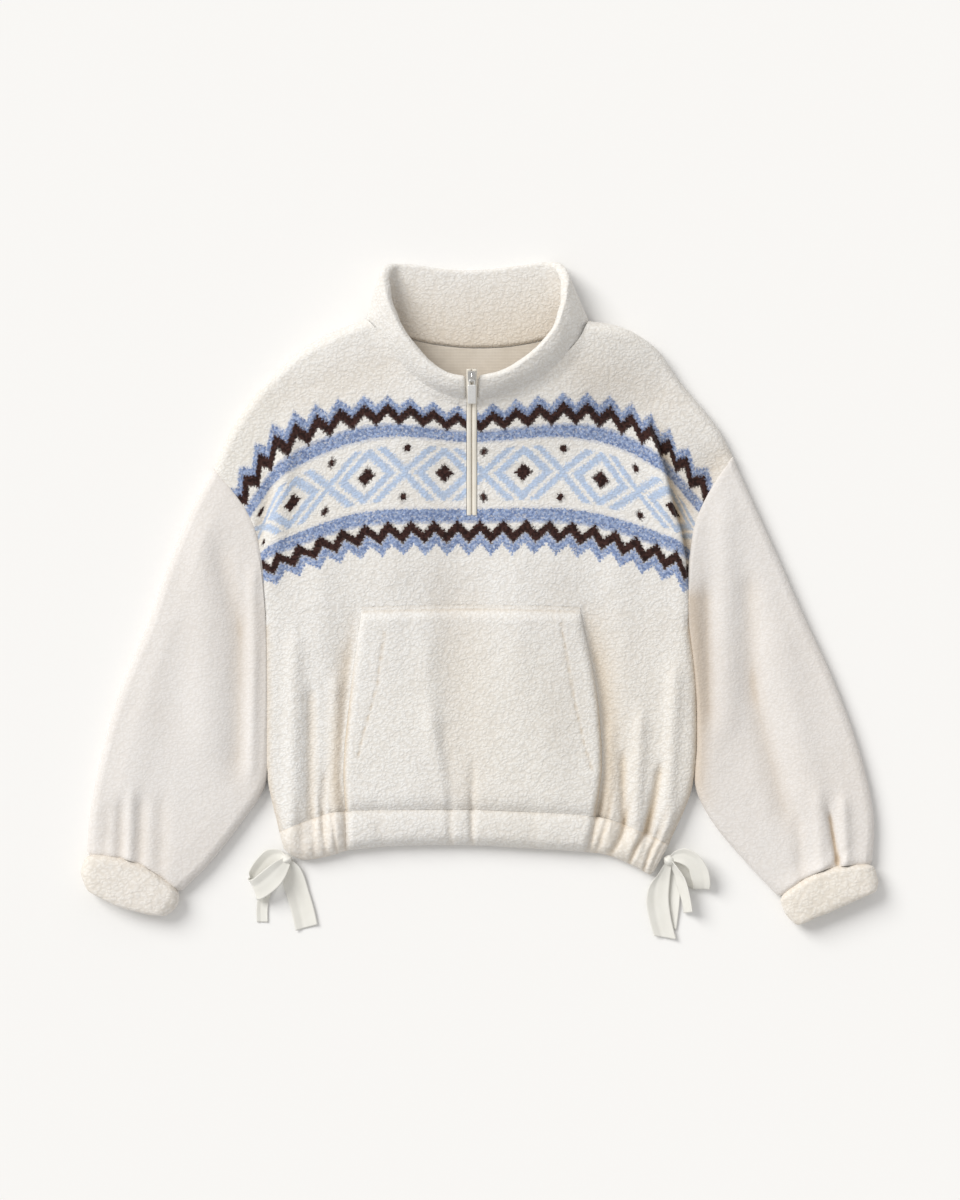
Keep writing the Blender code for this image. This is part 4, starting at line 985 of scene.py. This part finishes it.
print("hem")
hemRows = np.r_[1.0, 0.996, 0.985, 0.965, spacing(0.93, 0.0, 0.045)]
for name, start, end, material, slot, cut in (
        ("hemLeft", -238, -135, trimFleece, "trim_fleece", (0.100, 0.043)),
        ("hemCentre", -135, 118, plainFleece, "cream_fleece", (0.280, 0.048)),
        ("hemRight", 118, 234, trimFleece, "trim_fleece", (0.122, 0.045))):
    hemColumns = spacing(start, end, 1.7)
    if name == "hemLeft":
        hemColumns = np.r_[-238, -237.8, -237.2, hemColumns[1:]]
    if name == "hemRight":
        hemColumns = np.r_[hemColumns[:-1], 233.2, 233.8, 234]
    band, column, share = addGrid(name, hemColumns, hemRows, hemPoint)
    # painted shade in the gathers' hollows and along the seam, and broad painted shade across the hem
    writeTint(band, "creaseShadeAndStitches", gatherShade(column, share) + 0.2 * bell(share * hem["depth"], 2.2))
    writeTint(band, "broadShade", 0.35 * bell(column + 8, 150))
    raiseNap(band)
    finishPiece(band, material)
    node = {"hemLeft": "hem_left", "hemCentre": "hem_centre", "hemRight": "hem_right"}[name]
    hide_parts(node)


def hemBackPoint(station, share):
    station = station.astype(int)
    column, level = hemLoop[station], hemLevel[station]
    spot = hemPlan(column, share)
    away = np.minimum(*fromEnds(spot, hemPlan, share))
    away = np.minimum(away, measure(spot - hemPlan(column, np.ones(len(column)))))
    ripple = 0.8 + 0.8 * np.cos(column / 2.9)
    height = np.minimum(ripple * roll(away, 12) + backLift * (1 - roll(away, 8.0)), backLift)
    height = np.where(share < 0.001, backLift, height)
    return np.column_stack((spot, np.where(level > 0, backLift, height)))


hemLoop, hemLevel = bothLayers(np.r_[-238, -236.5, spacing(-234, 231, 2.4), 232.5, 234])
hemBackRows = np.r_[hemRows[:-1], 0.008, 0.0]
hemBack, station, share = addGrid("hemBack", np.arange(len(hemLoop)), hemBackRows, hemBackPoint)
writeTint(hemBack, "creaseShadeAndStitches", np.zeros(len(station)))
closePiece(hemBack)
raiseNap(hemBack)
restOnTable(hemBack)
finishPiece(hemBack, trimFleece)
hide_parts("hem_back")


def tubeLoop(topCount, bottomCount):
    # stations round a flat-lying tube: side (-1 outer edge, 0 across, 1 inner edge), angle or share,
    # over or under
    loop = [(-1, angle, 1) for angle in range(0, 91, 15)]
    loop += [(0, step / (topCount + 1), 1) for step in range(1, topCount + 1)]
    loop += [(1, angle, 1) for angle in range(90, -1, -15)]
    loop += [(1, angle, -1) for angle in range(22, 91, 22)]
    loop += [(0, step / (bottomCount + 1), -1) for step in range(bottomCount, 0, -1)]
    loop += [(-1, angle, -1) for angle in range(88, 0, -22)]
    return np.array(loop + loop[:1], float)


def addTube(name, plan, top, radius, rings, counts, shadeOf):
    # rings: share along the tube and how far in from its surface, in millimetres
    loop = tubeLoop(*counts)
    rings = np.asarray(rings, float)

    def place(station, ring):
        side, amount, level = loop[station.astype(int)].T
        share, inset = rings[ring.astype(int)].T
        start, end = plan(np.zeros(len(share)), share), plan(np.ones(len(share)), share)
        width = measure(end - start)
        small = np.maximum(radius - inset, 0.2)
        turn = np.radians(np.where(side == 0, 90, amount))
        fromEdge = (inset + small * (1 - np.cos(turn))) / width
        middle = (radius + (width - 2 * radius) * amount) / width
        across = np.where(side < 0, fromEdge, np.where(side > 0, 1 - fromEdge, middle))
        spot = plan(across, share)
        edge = 2 * radius - inset
        fade = np.clip(np.minimum(across, 1 - across) * width / 30, 0, 1) ** 0.7
        high = edge + (top(spot, share) - inset - edge) * fade
        atTop = (side == 0) | (amount >= 90)
        height = np.where(level > 0, np.where(atTop, high, radius + small * np.sin(turn)),
                          np.where(side == 0, inset, radius - small * np.sin(turn)))
        return np.column_stack((spot, np.maximum(height, inset)))

    piece, station, ring = addGrid(name, np.arange(len(loop)), np.arange(len(rings)), place)
    spot = place(station, ring)
    # each point gets the painted shade that the given function works out, and broad painted shade from the
    # sleeve patches
    writeTint(piece, "creaseShadeAndStitches", shadeOf(spot, rings[ring.astype(int), 0], loop[station.astype(int), 2]))
    writeTint(piece, "broadShade", patches(sleeveShadePatches, *spot.T[:2]))
    closePiece(piece)
    return piece


def leftOf(run):
    # a unit step to the left of each run
    return np.column_stack((-run[:, 1], run[:, 0])) / measure(run)[:, None]


def bowOff(start, end, across, amount):
    # how far a bowed seam stands off its straight line
    normal = leftOf(end - start)
    normal *= np.where(normal[:, 1] < 0, -1, 1)[:, None]
    return normal * (amount * np.sin(np.pi * across))[:, None]


def sleevePlan(data, bow):
    def plan(across, share):
        start, end = alongCurve(data["outer"], share), alongCurve(data["inner"], share)
        spot = start + (end - start) * across[:, None]
        # the upper end follows the body's armhole
        column, shoulder, band = data["column"], body["shoulder"], sleeves["band"]
        seamRow = shoulder + (body["armpit"] - shoulder) * across
        run = frontPlan(column, np.minimum(seamRow + 4, shoulder)) - frontPlan(column, seamRow - 4)
        off = -leftOf(run) * data["side"]
        seam = frontPlan(column, seamRow) + off * sleeves["armholeGap"]
        first, last = np.array(data["outer"][0], float), np.array(data["inner"][0], float)
        chord = first + (last - first) * across[:, None]
        spot += (seam - chord) * ((1 - share) ** 4)[:, None]
        first, last = [np.broadcast_to(np.array(data[name][-1], float), spot.shape)
                       for name in ("outer", "inner")]
        spot += bowOff(first, last, across, (bow + 0.4) * share ** 8)
        nearSeam = seam + off * (3.0 * np.minimum(share, band) / band)[:, None]
        return np.where((share <= band)[:, None], nearSeam, spot)
    return plan


print("sleeves")
for side in ("left", "right"):
    data = sleeves[side]
    rings = [(0.0, 3.4), (0.002, 2.3), (0.004, 1.6), (0.008, 0.9), (0.012, 0.5)]
    rings += [(share, 0.0) for share in spacing(0.018, 0.985, sleeves["step"] / sleeves["length"])]
    rings += [(0.989, 0.2), (0.993, 0.7), (0.997, 1.5), (1.0, 2.6)]

    def sleeveTop(spot, share):
        puff = sleeves["cuffPuff"] * bell(1 - share, 0.035)
        return sleeves["top"] + puff + foldHeight(data["folds"], *spot.T)

    # painted shade on the sleeve's upper face: in its folds, where it lies along the body's edge and at the
    # armhole seam
    def sleeveShade(spot, share, level):
        x, y = spot.T[:2]
        fold = -foldHeight(data["folds"], x, y)
        paintedShade = np.clip(fold / 5, 0, 1) * 0.3 + np.clip(fold - 3, 0, 2) * 0.3
        underBody = bell(nearLine(data["inner"], x, y), 13) * np.clip((y + 235) / 40, 0, 1)
        paintedShade += data["edgeTint"] * underBody + 0.15 * bell(share * sleeves["length"], 3)
        return np.where(level > 0, paintedShade, 0)

    piece = addTube("sleeve" + side.title(), sleevePlan(data, cuffs[side]["seamBow"]), sleeveTop,
                    sleeves["edgeRadius"], rings, (72, 26), sleeveShade)
    raiseNap(piece, 0.6)
    restOnTable(piece)
    finishPiece(piece, shadedSleeveFleece)
    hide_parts("sleeve_" + side)


def cuffPlan(data):
    def plan(across, share):
        start, end = alongCurve(data["outer"], share), alongCurve(data["inner"], share)
        bow = data["seamBow"] * (1 - share) + data["edgeBow"] * share
        spot = start + (end - start) * across[:, None] + bowOff(start, end, across, bow)
        return spot - (0, cuffs["gap"])
    return plan


print("cuffs")
for side in ("left", "right"):
    data = cuffs[side]

    def cuffTop(spot, share):
        return cuffs["top"] - cuffs["puff"] * (2 * share - 1) ** 2

    # painted shade on the cuff's upper face, along its seam with the sleeve
    def cuffShade(spot, share, level):
        return np.where(level > 0, 0.2 * bell(share * cuffs["length"], 3), 0)

    half = cuffs["wall"] / 2
    rings = [(0.0, 8.0), (0.01, 6.6), (0.04, 3.6), (0.08, 1.6), (0.11, 0.5)]
    rings += [(share, 0.0) for share in spacing(0.12, 0.86, cuffs["step"] / cuffs["length"])]
    for turn in range(15, 180, 15):
        angle = math.radians(turn)
        rings.append((0.89 + 0.11 * math.sin(angle), half * (1 - math.cos(angle))))
    rings += [(0.86, cuffs["wall"]), (0.6, cuffs["wall"]), (0.3, cuffs["wall"])]
    piece = addTube("cuff" + side.title(), cuffPlan(data), cuffTop, cuffs["edgeRadius"], rings, (52, 26),
                    cuffShade)
    raiseNap(piece, 1.7)
    restOnTable(piece)
    finishPiece(piece, trimFleece)
    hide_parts("cuff_" + side)


collarTable = np.asarray(collar["stations"], float)
collarKnots = np.arange(len(collarTable))


def collarSpot(station, share):
    # the outer face: station counts along the collar's table, share runs from the neck seam to the rim
    table, knots = collarTable, collarKnots
    seam, rim = curveThrough(knots, table[:, :3], station), curveThrough(knots, table[:, 3:6], station)
    seam[:, 2] += 4.0 * np.clip((seam[:, 2] - 14) / 14, 0, 1)
    bow = curveThrough(knots, table[:, 6], station)
    spot = seam + (rim - seam) * share[:, None]
    spot += np.array((0, -0.4, 0.9)) * (bow * np.sin(np.pi * share))[:, None]
    spot[:, 2] = np.maximum(spot[:, 2], 0)
    return spot


def collarFrame(station, share):
    spot = collarSpot(station, share)
    along = collarSpot(np.minimum(station + 0.05, collarKnots[-1]), share)
    along = along - collarSpot(np.maximum(station - 0.05, 0), share)
    up = collarSpot(station, np.minimum(share + 0.02, 1)) - collarSpot(station, np.minimum(share, 1) - 0.02)
    up /= measure(up)[:, None]
    normal = np.cross(up, along)
    normal /= measure(normal)[:, None]
    return spot, up, normal


print("collar")
travel = runningLength(collarTable[:, 3:5])
steps = np.interp(spacing(0, travel[-1], collar["step"]), travel, collarKnots)
# round the wall: share, angle, and 1 at the rim or -1 at the seam
section = [(share, 0.0, 0.0) for share in spacing(0.03, 0.9, 0.045)]
section += [(0.92, angle, 1.0) for angle in range(0, 181, 15)]
section += [(share, 180.0, 0.0) for share in spacing(0.9, 0.03, 0.045)]
section += [(0.03, angle, -1.0) for angle in range(165, 0, -30)]
section = np.array(section + section[:1], float)


def collarPoint(place, station):
    share, angle, rim = section[place.astype(int)].T
    seamHeight = curveThrough(collarKnots, collarTable[:, 2], station)
    tuck = np.interp(seamHeight, (0, 10, 22, 27), (0.03, 0.0, -0.08, -0.35))
    share = tuck + (share - 0.03) * (1 - tuck) / 0.97
    spot, up, normal = collarFrame(station, share)
    travelled = np.interp(station, collarKnots, travel)
    wall = collar["wall"] * (0.12 + 0.88 * roll(np.minimum(travelled, travel[-1] - travelled), 5.0))
    turn = np.radians(angle)
    inner = (wall / 2 * (1 - np.cos(turn)))[:, None]
    reach = (wall / 2 * 0.75 * np.sin(turn) * rim)[:, None]
    outside = ((collar["wall"] - wall) / 2)[:, None]
    return spot - normal * (inner + outside) + up * reach


collarPiece, place, station = addGrid("standCollar", np.arange(len(section)), steps, collarPoint)
share, angle, rim = section[place.astype(int)].T
# painted shade on the collar's inner face, darker towards the neck seam
writeTint(collarPiece, "creaseShadeAndStitches", np.where(angle > 120, 0.55 * (1 - share), 0))
closePiece(collarPiece, capped=True)
raiseNap(collarPiece)
restOnTable(collarPiece)
finishPiece(collarPiece, plainFleece)
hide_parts("collar")


print("neck tape")


def neckTapePoint(across, down):
    upper = neckScoop(0.14 + 0.72 * across, 310)
    angle = np.pi - 0.12 - (np.pi - 0.24) * across
    lower = np.column_stack((-6 + 82 * np.cos(angle), 276 - 42 * np.sin(angle)))
    spot = upper + (lower - upper) * (1 - down[:, None])
    return np.column_stack((spot, np.full(len(across), 8.0)))


tapePiece, across, down = addGrid("neckTape", spacing(0, 1, 0.012), spacing(0, 1, 0.04), neckTapePoint)
spot = neckTapePoint(across, down)
writeUv(tapePiece, spot[:, 0], spot[:, 1])
thicken(tapePiece, 1.0)
finishPiece(tapePiece, facing)
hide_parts("neck_tape")


def zipLine(share):
    # y, z of the cloth that the zip follows, from its lower end up over the collar's rim
    share = np.asarray(share, float)
    lower = frontPoint(np.full(9, body["slit"][0], float),
                       np.linspace(body["zipEnd"], body["shoulder"] - 14, 9))
    upper = collarSpot(np.zeros(7), np.linspace(0.15, 1.0, 7))
    line = np.vstack((lower, upper))[:, 1:]
    line = np.vstack((line, line[-1] + (halfZip["landing"], 4.0)))
    return alongCurve(line, share)


def zipFrame(share):
    spot = zipLine(share)
    return spot, leftOf(zipLine(np.minimum(share + 0.01, 1)) - zipLine(np.maximum(share - 0.01, 0)))


print("zip")
for side in ("left", "right"):
    start = halfZip["weltStarts"][side]

    def weltPoint(angle, share):
        # a folded tape: round on top, flat below
        turn = np.radians(angle)
        across = start + halfZip["weltWidth"] / 2 * (1 - np.cos(turn))
        spot, normal = zipFrame(share)
        rounded = np.abs(np.sin(turn)) ** 0.6 * np.where(angle <= 180, 1, -0.5)
        rise = halfZip["proud"] + halfZip["weltHeight"] * (rounded - 1)
        return np.column_stack((across, spot + normal * rise[:, None]))

    piece, angle, share = addGrid(
        "zipTape" + side.title(), spacing(0, 360, 15), spacing(0.0, 1.0, 0.006), weltPoint)
    closePiece(piece, capped=True)
    finishPiece(piece, zipTape)
    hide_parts("zip_welt_" + side)


def coilPoint(across, share):
    spot, normal = zipFrame(share)
    tooth = 0.5 * np.abs(np.sin(np.pi * share * halfZip["length"] / halfZip["toothPitch"]))
    tooth *= np.abs(across - halfZip["middle"]) < halfZip["toothReach"]
    spot = spot + normal * (halfZip["proud"] - halfZip["coilDepth"] + tooth)[:, None]
    return np.column_stack((across, spot))


coil, across, share = addGrid("zipTeeth", np.array((-11.4, -10.8, -10.2, -9.6, -8.4, -7.8, -7.2, -6.6)),
                              spacing(0.0, 1.0, 0.0021), coilPoint)
thicken(coil, 0.8)
finishPiece(coil, zipTeeth)
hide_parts("zip_coil")


halfRibbon = 12.5    # half the ribbon's width


def ribbonPiece(name, stations):
    table = np.asarray(stations, float)
    knots = np.arange(len(table))
    lengths = runningLength(table[:, :3])
    at = np.interp(spacing(0, lengths[-1], 1.6), lengths, knots)

    def place(side, station):
        middle, half = curveThrough(knots, table[:, :3], station), curveThrough(knots, table[:, 3:], station)
        along = curveThrough(knots, table[:, :3], np.minimum(station + 0.05, knots[-1]))
        along = along - curveThrough(knots, table[:, :3], np.maximum(station - 0.05, 0))
        lift = np.cross(half, along)
        lift /= measure(lift)[:, None] + 1e-9
        # the edges curl up and a soft crease runs along it
        curl = (1.7 * side ** 2 - 0.55 * bell(side - 0.3, 0.2)) * measure(half) / halfRibbon
        return middle + half * side[:, None] + lift * (curl * np.sign(lift[:, 2] + 1e-9))[:, None]

    piece, side, station = addGrid(name, spacing(-1, 1, 0.125), at, place)
    writeUv(piece, side * halfRibbon, np.interp(station, knots, lengths))
    thicken(piece, 0.6, offset=0)
    return piece


def knotPiece(name, centre, size, turn):
    # the wrapped knot: a soft ball with the ribbon's pleats drawn over it
    around, over = spacing(0, 360, 9), spacing(-90, 90, 9)

    def place(angle, tilt):
        angle, tilt = np.radians(angle), np.radians(tilt)
        pleat = 1 + 0.07 * np.cos(5 * tilt + 1.2 * np.sin(angle)) * np.cos(tilt)
        spot = np.column_stack((np.cos(tilt) * np.cos(angle), np.sin(tilt), np.cos(tilt) * np.sin(angle)))
        spot *= pleat[:, None] * np.array(size) / 2
        spin = math.radians(turn)
        x = spot[:, 0] * math.cos(spin) - spot[:, 1] * math.sin(spin)
        y = spot[:, 0] * math.sin(spin) + spot[:, 1] * math.cos(spin)
        return np.column_stack((x, y, spot[:, 2])) + np.array(centre)

    piece, angle, tilt = addGrid(name, around, over, place)
    writeUv(piece, tilt / 8, angle / 8)
    closePiece(piece)
    return piece


print("bows")
for side in ("left", "right"):
    data = bows[side]
    bow = knotPiece("bow" + side.title(), *data["knot"])
    parts = [bow] + [ribbonPiece("bow" + side.title() + key.title(), stations)
                     for key, stations in data.items() if key not in ("length", "knot")]
    bpy.ops.object.select_all(action="DESELECT")
    for part in parts:
        part.select_set(True)
    bpy.context.view_layer.objects.active = bow
    bpy.ops.object.join()
    restOnTable(bow)
    finishPiece(bow, ribbonSatin)
    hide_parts("bow_" + side)


print("slider and pull")
for node, material in (("zip_slider", sliderMetal), ("zip_pull", pullEnamel)):
    for item in bpy.data.objects:
        if item.name == node:
            for slot in item.material_slots:
                slot.material = material


print("camera and light")
cameraData = bpy.data.cameras.new("camera")
camera = bpy.data.objects.new("camera", cameraData)
bpy.context.scene.collection.objects.link(camera)
bpy.context.scene.camera = camera
view = {"distance": 5.0, "width": 1.056, "middle": (0.00045, -0.0004), "plane": 0.012}
cameraData.sensor_width = 36
cameraData.lens = cameraData.sensor_width * view["distance"] / (view["width"] * 1200 / 960)
cameraData.clip_end = 50
camera.location = (*view["middle"], view["distance"] + view["plane"])

bpy.ops.object.select_all(action="DESELECT")
bpy.ops.mesh.primitive_plane_add(size=12, location=(0, 0, -0.0002))
table = bpy.context.object
table.name = "table"
tableMaterial, tree, shader = newMaterial("tableWhite", 0.9)
setInputs(shader, {"Base Color": (0.90, 0.895, 0.885, 1), "Specular IOR Level": 0.1})
table.data.materials.append(tableMaterial)


def addSun(name, direction, strength, spread, colour):
    data = bpy.data.lights.new(name, "SUN")
    data.energy = strength
    data.angle = math.radians(spread)
    data.color = colour
    item = bpy.data.objects.new(name, data)
    bpy.context.scene.collection.objects.link(item)
    item.location = Vector(direction) * 2
    item.rotation_euler = (-Vector(direction)).to_track_quat("-Z", "Y").to_euler()


addSun("key", (-1.15, 0.95, 1.15), 2.43, 34, (1.0, 0.99, 0.97))
world = bpy.context.scene.world or bpy.data.worlds.new("room")
bpy.context.scene.world = world
world.use_nodes = True
setInputs(world.node_tree.nodes["Background"], {"Color": (1.0, 0.99, 0.98, 1), "Strength": 0.58})
bpy.context.scene.view_settings.view_transform = "Standard"
